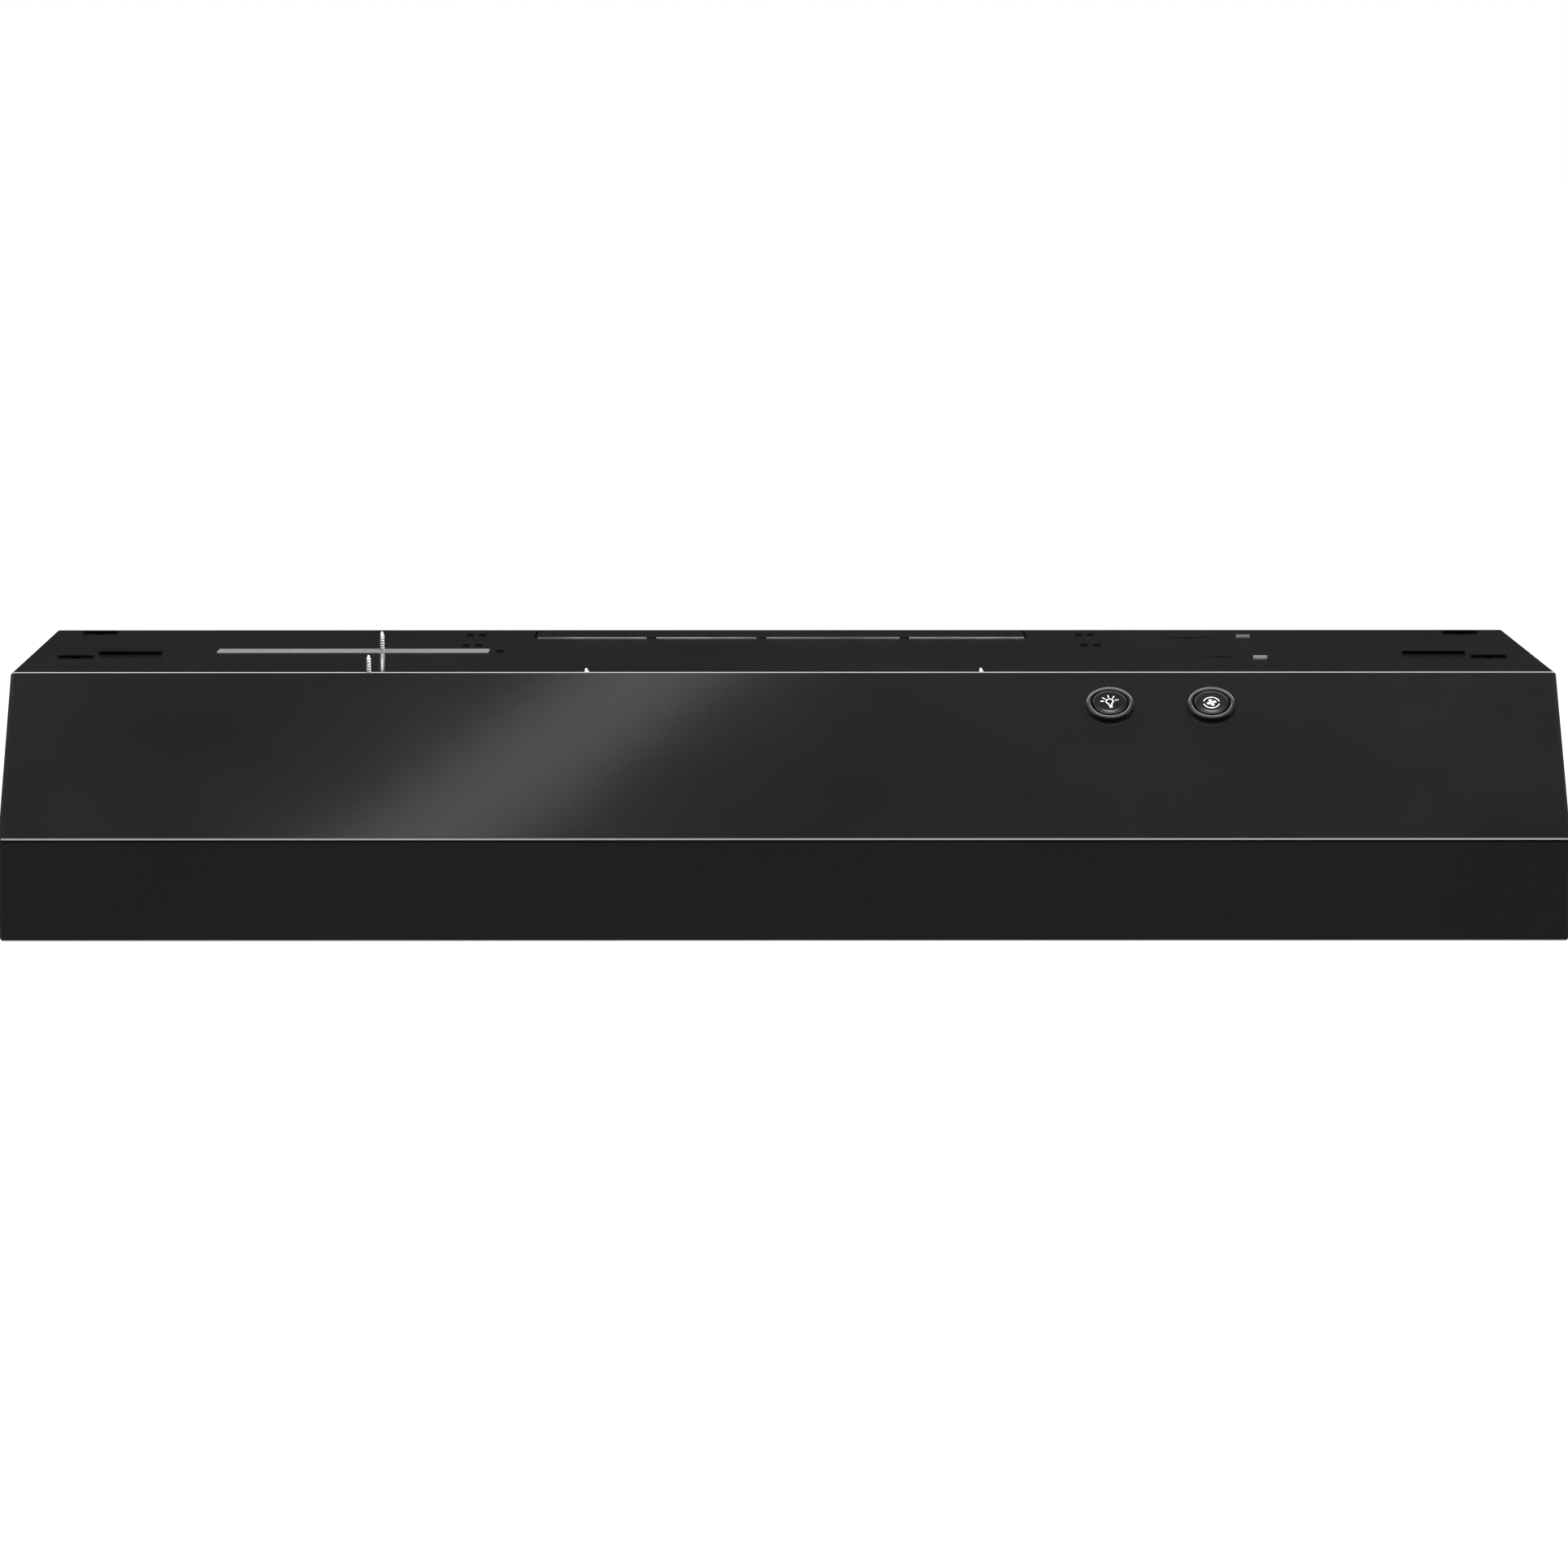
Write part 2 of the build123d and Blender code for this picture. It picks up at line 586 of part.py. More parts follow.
def front_pan():
    """Pan behind the lip that closes the lamp and switch space and frames the lens."""
    edge = WIDTH / 2 - 2 * SHEET - 0.04
    pan = block((-edge, edge), (PAN_FRONT, PAN_REAR), (PAN_Z - SHEET, PAN_Z))
    pan += block((-edge, edge), (PAN_FRONT - SHEET, PAN_FRONT), (PAN_Z - SHEET, PAN_Z + 10))
    pan += block((-edge, edge), (PAN_REAR - SHEET, PAN_REAR), (PAN_Z, PAN_Z + 20))
    for side in (-1, 1):
        pan += block((side * (edge - SHEET), side * edge), (PAN_FRONT, PAN_REAR), (PAN_Z, PAN_Z + 10))
        for y, z in RIVET_PLACES:
            pan -= crosswise((side * (edge - 2), side * (edge + 1)), y, z, RIVET_R + 0.02)
        for low in (48.0, 68.0):
            lug = block((side * low, side * (low + 4)), (-336, -330), (-123.4, PAN_Z - SHEET))
            pan += lug - crosswise((side * (low - 1), side * (low + 5)), *LENS_AXIS, LENS_PIN_R + 0.02)
    return pan - block((-86, 86), (-413, -345), (PAN_Z - 2, PAN_Z + 2))


def lamp_reflector():
    """Folded trough over the lamp, hung from the top sheet."""
    rear = REFLECTOR_REAR
    outer = [(rear, PAN_Z + 0.02), (rear, -38), (-352, -34), (-420, -86.5), (-420, PAN_Z + 0.02)]
    face = make_face(Polyline(*[(0, y, z) for y, z in outer], close=True))
    inner = offset(face, -SHEET, kind=Kind.INTERSECTION)
    half = 105.0
    tray = along_x(outer, (-half, half))
    tray -= extrude(Pos(SHEET - half, 0, 0) * inner, amount=2 * (half - SHEET), dir=(1, 0, 0))
    tray -= block((SHEET - half, half - SHEET), (-420 + SHEET, rear - SHEET), (PAN_Z - 1, PAN_Z + 4))
    tray += block((-half, half), (rear - SHEET, rear), (-40, -SHEET - 0.02))
    tray += block((-half, half), (-346, rear), (-2 * SHEET, -SHEET - 0.02))
    for x, y, _ in LAMP_SCREWS:
        tray -= upright(x, y, (-5, 1), SCREW_R + 0.1)
    return tray - crosswise((-half - 1, -half + 2), BULB_Y, BULB_Z, 9)


def lamp_socket():
    """Ceramic socket on the left end wall of the trough."""
    body = crosswise((-104.2, -66), BULB_Y, BULB_Z, 18)
    body = fillet(body.edges().sort_by(Axis.X)[-1], 2)
    return body - crosswise((-96, -60), BULB_Y, BULB_Z, 13.4)


def bulb_base():
    """Screw base of the bulb, in the socket."""
    return crosswise((-95.5, -68.5), BULB_Y, BULB_Z, 12.9)


def bulb_glass():
    """Pear-shaped glass envelope."""
    neck, centre = 12.5, 8.0
    line = Line((-68.4, 0), (-68.4, neck))
    line += Line((-68.4, neck), (-60, neck))
    line += Spline((-60, neck), (-30, 19), (centre, BULB_R), tangents=((1, 0), (1, 0)))
    line += RadiusArc((centre, BULB_R), (centre + BULB_R, 0), BULB_R)
    line += Line((centre + BULB_R, 0), (-68.4, 0))
    return Pos(0, BULB_Y, BULB_Z) * revolve(make_face(line), Axis.X)


def light_lens():
    """Shallow translucent tray hinged along its rear edge."""
    top = PAN_Z - SHEET - 0.3
    tray = block((-LENS_HALF, LENS_HALF), LENS_YS, (top - 1.4, top))
    belly = block((-LENS_HALF + 9, LENS_HALF - 9), (LENS_YS[0] + 9, LENS_YS[1] - 9), (top - 4.6, top))
    belly = fillet(belly.edges().filter_by(Axis.Z), 6)
    tray += chamfer(belly.faces().sort_by(Axis.Z)[0].edges(), 2)
    tray -= block((-LENS_HALF + 11, LENS_HALF - 11), (LENS_YS[0] + 11, LENS_YS[1] - 11), (top - 3.2, top + 1))
    for side in (-1, 1):
        span = (side * 52.4, side * 67.6)
        ear = crosswise(span, *LENS_AXIS, 2.1) + block(span, (LENS_YS[1] - 1, LENS_AXIS[0]), (top - 1.4, top))
        tray += ear
        tray -= crosswise((side * 52, side * 68), *LENS_AXIS, LENS_PIN_R + RUNNING)
    return tray


def lens_hinge_pins():
    """Two short pins held in the pan's lugs."""
    return group(crosswise((side * 47.6, side * 72.4), *LENS_AXIS, LENS_PIN_R) for side in (-1, 1))


def filter_mesh(side):
    """Upper and lower aluminium mesh faces, their edges in the frame's channel."""
    (x0, x1), (y0, y1), (z0, z1) = FILTER_X, FILTER_Y, FILTER_Z
    faces = []
    for z in ((z0 + 1, z0 + 1 + MESH_SHEET), (z1 - 1 - MESH_SHEET, z1 - 1)):
        faces.append(mirrored(block((x0 + 4, x1 - 4), (y0 + 4, y1 - 4), z), side))
    return group(faces)


def filter_frame(side):
    """Channel frame round the mesh, with a pivot pin at each rear corner."""
    (x0, x1), (y0, y1), z = FILTER_X, FILTER_Y, FILTER_Z
    frame = block((x0, x1), (y0, y1), z)
    frame = fillet(frame.edges().filter_by(Axis.Z), 3)
    frame -= block((x0 + FRAME_WIDTH, x1 - FRAME_WIDTH), (y0 + FRAME_WIDTH, y1 - FRAME_WIDTH), (z[0] - 1, z[1] + 1))
    frame -= block((x0 + 4, x1 - 4), (y0 + 4, y1 - 4), (z[0] + 1, z[1] - 1))
    for low, high in ((x0 - 5, x0 + 2), (x1 - 2, x1 + 5.5)):
        frame += crosswise((low, high), *FILTER_AXIS, FILTER_PIN_R)
    frame -= block((x0 + 4, x1 - 4), (y0 + 4, y1 - 4), (z[0] + 1, z[1] - 1))
    return mirrored(frame, side)


def pull_clip(side):
    """Saddle under the filter's front edge that holds the pull ring."""
    x = sum(FILTER_X) / 2
    clip = block((x - 3, x + 3), (PULL_Y - 14, PULL_Y + 3), (FILTER_Z[0] - 0.8, FILTER_Z[0]))
    clip += block((x - 3, x + 3), (PULL_Y - 2.4, PULL_Y + 2.4), (PULL_Z - 2.4, FILTER_Z[0]))
    return mirrored(clip - crosswise((x - 4, x + 4), PULL_Y, PULL_Z, PULL_R + 0.08), side)


def pull_ring(side):
    """D-shaped ring hanging from the clip."""
    x = sum(FILTER_X) / 2
    drop, wide = 8.2, 22.0
    outer = block((x - wide / 2, x + wide / 2), (PULL_Y - PULL_R, PULL_Y + PULL_R), (PULL_Z - drop, PULL_Z))
    outer = fillet(outer.edges().filter_by(Axis.Y).sort_by(Axis.Z)[:2], 4)
    inner = block((x - wide / 2 + 2.2, x + wide / 2 - 2.2), (PULL_Y - 5, PULL_Y + 5), (PULL_Z - drop + 2.2, PULL_Z + 3))
    inner = fillet(inner.edges().filter_by(Axis.Y).sort_by(Axis.Z)[:2], 2)
    ring = outer - inner
    return mirrored(ring + crosswise((x - wide / 2, x + wide / 2), PULL_Y, PULL_Z, PULL_R), side)


def rear_rail():
    """Angle along the back sheet with ears for the filter pivots."""
    edge = WIDTH / 2 - 2 * SHEET - 0.04
    rail = block((-edge, edge), (-34, -2 * SHEET), (LEDGE_Z, LEDGE_Z + SHEET))
    rail -= block((-edge - 1, edge + 1), (-3, 0), (LEDGE_Z - 1, LEDGE_Z + 5))
    back = (-2 * SHEET, -SHEET - 0.02)
    rail += block((13 - edge, edge - 13), (-3.2, back[1]), (LEDGE_Z, LEDGE_Z + SHEET))
    rail += block((13 - edge, edge - 13), back, (LEDGE_Z, LEDGE_Z + 10))
    ears = ((3.4, 5.4), (363.4, 365.4))
    y, z = FILTER_AXIS
    for side in (-1, 1):
        for low, high in ears:
            ear = block((side * low, side * high), (y - 4, y + 4), (z, LEDGE_Z))
            ear += crosswise((side * low, side * high), y, z, 4)
            rail += ear - crosswise((side * (low - 1), side * (high + 1)), y, z, FILTER_PIN_R + 0.08)
    for x in BACK_SCREW_XS:
        rail -= Pos(x, 0, BACK_SCREW_Z) * Rot(90, 0, 0) * Cylinder(SCREW_R + 0.1, 8)
    return rail


def side_ledge(side):
    """Angle on the end panel that the filter closes up against."""
    edge = WIDTH / 2 - 2 * SHEET - 0.04
    ledge = block((355, edge), (PAN_REAR + 1, -36), (LEDGE_Z, LEDGE_Z + SHEET))
    ledge += block((edge - SHEET, edge), (PAN_REAR + 1, -36), (LEDGE_Z, LEDGE_Z + 10))
    for y, z in RIVET_PLACES:
        ledge -= crosswise((edge - 2, edge + 1), y, z, RIVET_R + 0.02)
    return mirrored(ledge, side)


def centre_rail():
    """Hat section over the gap between the two filters."""
    rail = block((-18, 18), (PAN_REAR + 1, -36), (LEDGE_Z, LEDGE_Z + 6))
    rail -= block((-8 + SHEET, 8 - SHEET), (PAN_REAR, -35), (LEDGE_Z - 1, LEDGE_Z + 6 - SHEET))
    for side in (-1, 1):
        rail -= block((side * 8, side * 19), (PAN_REAR, -35), (LEDGE_Z + SHEET, LEDGE_Z + 7))
    return rail


def lead(points):
    """Insulated lead along straight runs with wide arcs between them."""
    places = [Vector(*point) for point in points]
    runs = [b - a for a, b in zip(places, places[1:])]
    radii = []
    for before, after in zip(runs, runs[1:]):
        turn = radians(before.get_angle(after))
        radii.append(0.45 * min(before.length, after.length) / tan(turn / 2))
    print("lead radii", [round(radius, 1) for radius in radii])
    path = FilletPolyline(*points, radius=radii)
    start = Plane(origin=path @ 0, z_dir=path % 0)
    return sweep(start * Circle(LEAD_R), path=path)


def switch_tail(x, out):
    """Place behind a switch's terminals, out millimetres from them."""
    depth = 6.02 + SWITCH_SIZE[2] + 4 + out
    place = on_slope(x, BUTTON_DOWN, -depth).position
    return (place.X, place.Y, place.Z)


def fan_lead():
    """Lead from the wiring box through the air box wall to the motor."""
    return lead(
        [
            (WIRING_X[0] + 14, FAN_LEAD_Y, LEAD_Z),
            (172, FAN_LEAD_Y, LEAD_Z),
            (128, FAN_LEAD_Y - 4, LEAD_Z - 3),
            (96, FAN_LEAD_Y - 24, LEAD_Z - 5),
            (76, FAN_Y, LEAD_Z - 6),
            (MOTOR_R + 2.05, FAN_Y, LEAD_Z - 6),
        ]
    )


def fan_switch_lead():
    """Lead from the wiring box to the fan switch."""
    x = BUTTON_XS["fan"]
    return lead(
        [
            switch_tail(x, 0.05),
            switch_tail(x, 12),
            (x + 6, -318, -52),
            (218, -288, -36),
            (220, -262, LEAD_Z),
            (220, WIRING_Y[0] + 12, LEAD_Z),
        ]
    )


def lamp_lead():
    """Lead from the light switch, along the top through the clip, to the lamp socket."""
    x = BUTTON_XS["light"]
    clip_y, clip_z = CLIP_SCREW[1] + 17, -2 * SHEET - 5
    return lead(
        [
            switch_tail(x, 0.05),
            switch_tail(x, 12),
            (x - 14, -325, -40),
            (110, clip_y + 1, -20),
            (60, clip_y, -10),
            (0, clip_y - 1, -8),
            (-60, clip_y, -9),
            (-120, clip_y - 1, -8),
            (-170, clip_y, clip_z),
            (-216, clip_y, clip_z),
            (-240, -334, -20),
            (-238, -352, -46),
            (-208, -366, -70),
            (-168, -374, -83),
            (-135, BULB_Y, BULB_Z),
            (-104.25, BULB_Y, BULB_Z),
        ]
    )


def cable_clip():
    """Loop that carries the lamp lead under the top sheet."""
    x, y, _ = CLIP_SCREW
    clip = block((x - 6, x + 6), (y - 5, y + 22), (-2 * SHEET, -SHEET - 0.02))
    loop = Pos(x, y + 17, -2 * SHEET - 5) * Rot(0, 90, 0) * (Cylinder(5.5, 10) - Cylinder(4, 12))
    loop -= block((x - 8, x + 8), (y + 8, y + 26), (-2 * SHEET, 2))
    return clip + loop - upright(x, y, (-5, 1), SCREW_R + 0.1)


NODES = {
    "canopy_wrapper": canopy_wrapper(),
    "left_end_panel": end_panel(-1),
    "right_end_panel": end_panel(1),
    "back_panel": back_panel(),
    "end_rivets": end_rivets(),
    "back_screws": back_screws(),
    "air_box": air_box(),
    "air_box_screw": top_screw(*BOX_SCREW, -2 * SHEET),
    "inlet_ring": inlet_ring(),
    "motor_bracket": motor_bracket(),
    "bracket_screws": bracket_screws(),
    "motor_lower_bell": motor_bell(LOWER_JOINT, MOTOR_BASE, 0),
    "motor_upper_bell": motor_bell(UPPER_JOINT, MOTOR_TOP, 6),
    "motor_stator": motor_stator(),
    "motor_windings": motor_windings(),
    "motor_bearings": motor_bearings(),
    "motor_bolts": motor_bolts(),
    "motor_rotor": upright(0, FAN_Y, (LOWER_JOINT, UPPER_JOINT), ROTOR_R)
    - upright(0, FAN_Y, (LOWER_JOINT - 1, UPPER_JOINT + 1), SHAFT_R + 0.02),
    "motor_shaft": upright(0, FAN_Y, (-88, MOTOR_TOP + 2), SHAFT_R),
    "fan_impeller": fan_impeller(),
    "fan_nut": Pos(0, FAN_Y, -86.5) * extrude(RegularPolygon(8, 6), amount=4.48)
    - upright(0, FAN_Y, (-90, -80), SHAFT_R + 0.02),
    "run_capacitor": capacitor(),
    "wiring_box": wiring_box(),
    "wiring_cover": wiring_cover(),
    "wiring_cover_screw": under_screw(*COVER_SCREW, WIRING_Z - SHEET, 6),
    "front_pan": front_pan(),
    "lamp_reflector": lamp_reflector(),
    "lamp_screws": group(top_screw(*place, -2 * SHEET) for place in LAMP_SCREWS),
    "lamp_socket": lamp_socket(),
    "bulb_base": bulb_base(),
    "bulb_glass": bulb_glass(),
    "light_lens": light_lens(),
    "lens_hinge_pins": lens_hinge_pins(),
    "rear_filter_rail": rear_rail(),
    "centre_filter_rail": centre_rail(),
    "fan_lead": fan_lead(),
    "fan_switch_lead": fan_switch_lead(),
    "lamp_lead": lamp_lead(),
    "cable_clip": cable_clip(),
    "cable_clip_screw": top_screw(*CLIP_SCREW, -2 * SHEET),
}
for word, place in BUTTON_XS.items():
    NODES[f"{word}_bezel"] = bezel(place)
    NODES[f"{word}_button"] = button(place)
    NODES[f"{word}_switch_body"] = switch_body(place)
for word, side in (("left", -1), ("right", 1)):
    NODES[f"{word}_side_ledge"] = side_ledge(side)
    NODES[f"{word}_filter_frame"] = filter_frame(side)
    NODES[f"{word}_filter_mesh"] = filter_mesh(side)
    NODES[f"{word}_pull_clip"] = pull_clip(side)
    NODES[f"{word}_pull_ring"] = pull_ring(side)

os.makedirs("parts", exist_ok=True)
for name, shape in NODES.items():
    export_step(shape, f"parts/{name}.step")
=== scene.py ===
import json
from math import atan2, cos, pi, radians, sin

import bmesh
import bpy
from bpy.props import (
    FloatProperty,
    FloatVectorProperty,
    IntProperty,
    PointerProperty,
)
from mathutils import Matrix, Vector


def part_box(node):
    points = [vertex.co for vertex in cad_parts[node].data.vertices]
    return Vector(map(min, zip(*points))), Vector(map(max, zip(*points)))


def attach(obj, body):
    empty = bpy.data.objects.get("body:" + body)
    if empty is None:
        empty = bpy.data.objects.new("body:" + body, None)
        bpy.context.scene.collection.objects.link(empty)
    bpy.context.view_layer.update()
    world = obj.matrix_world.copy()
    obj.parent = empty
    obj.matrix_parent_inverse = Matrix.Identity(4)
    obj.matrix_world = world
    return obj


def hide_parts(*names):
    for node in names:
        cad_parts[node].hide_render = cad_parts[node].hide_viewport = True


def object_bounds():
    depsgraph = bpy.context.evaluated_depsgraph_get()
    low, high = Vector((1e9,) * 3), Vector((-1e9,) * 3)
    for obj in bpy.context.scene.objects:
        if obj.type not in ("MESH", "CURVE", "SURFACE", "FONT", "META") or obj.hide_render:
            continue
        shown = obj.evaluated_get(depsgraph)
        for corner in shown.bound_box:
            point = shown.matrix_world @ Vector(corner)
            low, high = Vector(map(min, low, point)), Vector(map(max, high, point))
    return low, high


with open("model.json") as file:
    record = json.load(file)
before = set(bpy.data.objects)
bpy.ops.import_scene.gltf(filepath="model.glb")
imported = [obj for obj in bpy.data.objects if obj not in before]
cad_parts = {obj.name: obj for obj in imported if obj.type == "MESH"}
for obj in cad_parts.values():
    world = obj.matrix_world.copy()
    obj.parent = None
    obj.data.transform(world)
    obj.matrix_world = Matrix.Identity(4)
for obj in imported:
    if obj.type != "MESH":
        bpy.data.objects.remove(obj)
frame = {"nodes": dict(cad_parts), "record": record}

bl_info = {
    "name": "Under Cabinet Range Hood",
    "version": (1, 0, 0),
    "blender": (4, 5, 0),
    "location": "3D View > Sidebar > Range Hood",
    "description": "Finishes and detail pieces of a black sheet steel range hood",
    "category": "Add Mesh",
}

CAD_LOW, CAD_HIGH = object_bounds()
NODES = frame["nodes"]
MM = 0.001
TAU = 2 * pi

# Corners nearer than this are one corner
WELD = 1e-7

# Way that the slope faces, the Y of the fan's axis, and the Y and Z of the filters' pivot axis
SLOPE_UP = Vector((0, -0.6117, 0.7911))
FAN_Y = -165 * MM
PIVOT_Y, PIVOT_Z = -26 * MM, -108.5 * MM


# Helpers that measure the frame


def solids_of(node):
    """Lowest and highest corner of each separate solid in a node, from left to right."""
    bm = bmesh.new()
    bm.from_mesh(NODES[node].data)
    bmesh.ops.remove_doubles(bm, verts=bm.verts, dist=1e-6)
    found, seen = [], set()
    for start in bm.verts:
        if start in seen:
            continue
        island, queue = [], [start]
        seen.add(start)
        while queue:
            vert = queue.pop()
            island.append(vert.co.copy())
            for edge in vert.link_edges:
                other = edge.other_vert(vert)
                if other not in seen:
                    seen.add(other)
                    queue.append(other)
        low = Vector([min(co[axis] for co in island) for axis in range(3)])
        high = Vector([max(co[axis] for co in island) for axis in range(3)])
        found.append((low, high))
    bm.free()
    return sorted(found, key=lambda corners: (round(corners[0].x, 4), corners[0].y))


# Pattern groups: each puts out a mask and a height that change over the surface


def new_group(name, scale):
    """Empty shader group with Vector and Scale inputs, and Mask and Height outputs."""
    group = bpy.data.node_groups.new(name, "ShaderNodeTree")
    group.interface.new_socket("Vector", in_out="INPUT", socket_type="NodeSocketVector")
    socket = group.interface.new_socket("Scale", in_out="INPUT", socket_type="NodeSocketFloat")
    socket.default_value = scale
    for label in ("Mask", "Height"):
        group.interface.new_socket(label, in_out="OUTPUT", socket_type="NodeSocketFloat")
    nodes = group.nodes
    return group, nodes.new("NodeGroupInput"), nodes.new("NodeGroupOutput")


def noise_node(tree, vector, scale, detail=2.0, rough=0.5):
    """Noise texture; scale is a number, or the socket that drives it."""
    noise = tree.nodes.new("ShaderNodeTexNoise")
    noise.inputs["Detail"].default_value = detail
    noise.inputs["Roughness"].default_value = rough
    tree.links.new(vector, noise.inputs["Vector"])
    if isinstance(scale, bpy.types.NodeSocket):
        tree.links.new(scale, noise.inputs["Scale"])
    else:
        noise.inputs["Scale"].default_value = scale
    return noise.outputs["Fac"]


def spread(tree, value, low, high, out_low=0.0, out_high=1.0, eased=False):
    """Map range that stretches low..high to the output range, in a straight line or eased."""
    node = tree.nodes.new("ShaderNodeMapRange")
    node.interpolation_type = "SMOOTHERSTEP" if eased else "LINEAR"
    tree.links.new(value, node.inputs["Value"])
    for label, number in (
        ("From Min", low),
        ("From Max", high),
        ("To Min", out_low),
        ("To Max", out_high),
    ):
        node.inputs[label].default_value = number
    return node.outputs["Result"]


def combine(tree, operation, first, second):
    """Math node on two sockets, or on a socket and a number."""
    node = tree.nodes.new("ShaderNodeMath")
    node.operation = operation
    tree.links.new(first, node.inputs[0])
    if isinstance(second, bpy.types.NodeSocket):
        tree.links.new(second, node.inputs[1])
    else:
        node.inputs[1].default_value = second
    return node.outputs["Value"]


def enamel_skin():
    """Baked enamel: fine orange peel with slow, faint wipe marks."""
    group, start, end = new_group("enamel_skin", 620.0)
    vector = start.outputs["Vector"]
    peel = noise_node(group, vector, start.outputs["Scale"], 2.0, 0.45)
    wipes = noise_node(group, vector, 7.0, 4.0, 0.6)
    group.links.new(spread(group, wipes, 0.35, 0.68), end.inputs["Mask"])
    group.links.new(peel, end.inputs["Height"])
    return group


def zinc_spangle():
    """Galvanised sheet: crystal facets a few millimetres across with frosty edges."""
    group, start, end = new_group("zinc_spangle", 120.0)
    cells = group.nodes.new("ShaderNodeTexVoronoi")
    cells.inputs["Randomness"].default_value = 1.0
    group.links.new(start.outputs["Scale"], cells.inputs["Scale"])
    warp = group.nodes.new("ShaderNodeTexNoise")
    warp.inputs["Scale"].default_value = 160.0
    group.links.new(start.outputs["Vector"], warp.inputs["Vector"])
    offset = group.nodes.new("ShaderNodeVectorMath")
    offset.operation = "MULTIPLY_ADD"
    offset.inputs[1].default_value = (0.003, 0.003, 0.003)
    group.links.new(warp.outputs["Color"], offset.inputs[0])
    group.links.new(start.outputs["Vector"], offset.inputs[2])
    group.links.new(offset.outputs["Vector"], cells.inputs["Vector"])
    shade = group.nodes.new("ShaderNodeSeparateColor")
    group.links.new(cells.outputs["Color"], shade.inputs["Color"])
    frost = noise_node(group, start.outputs["Vector"], 900.0, 3.0)
    facets = combine(group, "MULTIPLY", shade.outputs["Red"], 0.75)
    total = combine(group, "ADD", facets, combine(group, "MULTIPLY", frost, 0.25))
    group.links.new(total, end.inputs["Mask"])
    group.links.new(frost, end.inputs["Height"])
    return group


def drawn_grain():
    """Fine lines from rolling or turning, stretched along X."""
    group, start, end = new_group("drawn_grain", 300.0)
    stretch = group.nodes.new("ShaderNodeMapping")
    stretch.inputs["Scale"].default_value = (0.04, 1.0, 1.0)
    group.links.new(start.outputs["Vector"], stretch.inputs["Vector"])
    lines = noise_node(group, stretch.outputs["Vector"], start.outputs["Scale"], 4.0, 0.65)
    patches = noise_node(group, start.outputs["Vector"], 24.0, 3.0)
    mask = combine(group, "MULTIPLY", lines, combine(group, "ADD", patches, 0.5))
    group.links.new(spread(group, mask, 0.25, 0.75), end.inputs["Mask"])
    group.links.new(lines, end.inputs["Height"])
    return group


def moulded_grain():
    """Moulded plastic: a fine even stipple with slow gloss patches."""
    group, start, end = new_group("moulded_grain", 1600.0)
    stipple = noise_node(group, start.outputs["Vector"], start.outputs["Scale"], 1.0)
    patches = noise_node(group, start.outputs["Vector"], 60.0, 3.0)
    group.links.new(spread(group, patches, 0.3, 0.7), end.inputs["Mask"])
    group.links.new(stipple, end.inputs["Height"])
    return group


def cast_speckle():
    """Ceramic or cast surface: small pits and darker specks."""
    group, start, end = new_group("cast_speckle", 500.0)
    pits = group.nodes.new("ShaderNodeTexVoronoi")
    group.links.new(start.outputs["Vector"], pits.inputs["Vector"])
    group.links.new(start.outputs["Scale"], pits.inputs["Scale"])
    cloud = noise_node(group, start.outputs["Vector"], 90.0, 4.0)
    specks = spread(group, pits.outputs["Distance"], 0.08, 0.3)
    group.links.new(combine(group, "MULTIPLY", specks, cloud), end.inputs["Mask"])
    group.links.new(specks, end.inputs["Height"])
    return group


def stacked_sheets():
    """Edges of stacked laminations: fine level lines."""
    group, start, end = new_group("stacked_sheets", 1500.0)
    lines = group.nodes.new("ShaderNodeTexWave")
    lines.bands_direction = "Z"
    lines.inputs["Distortion"].default_value = 0.4
    group.links.new(start.outputs["Vector"], lines.inputs["Vector"])
    group.links.new(start.outputs["Scale"], lines.inputs["Scale"])
    rust = noise_node(group, start.outputs["Vector"], 140.0, 4.0)
    group.links.new(combine(group, "MULTIPLY", lines.outputs["Fac"], rust), end.inputs["Mask"])
    group.links.new(lines.outputs["Fac"], end.inputs["Height"])
    return group


def prism_ribs():
    """Moulded light diffuser: even ribs across it, with slow gloss patches."""
    group, start, end = new_group("prism_ribs", 105.0)
    ribs = group.nodes.new("ShaderNodeTexWave")
    ribs.bands_direction = "X"
    group.links.new(start.outputs["Vector"], ribs.inputs["Vector"])
    group.links.new(start.outputs["Scale"], ribs.inputs["Scale"])
    patches = noise_node(group, start.outputs["Vector"], 45.0, 3.0)
    group.links.new(spread(group, patches, 0.3, 0.7), end.inputs["Mask"])
    group.links.new(ribs.outputs["Fac"], end.inputs["Height"])
    return group


PATTERNS = {
    "enamel_skin": enamel_skin,
    "zinc_spangle": zinc_spangle,
    "drawn_grain": drawn_grain,
    "moulded_grain": moulded_grain,
    "cast_speckle": cast_speckle,
    "stacked_sheets": stacked_sheets,
    "prism_ribs": prism_ribs,
}


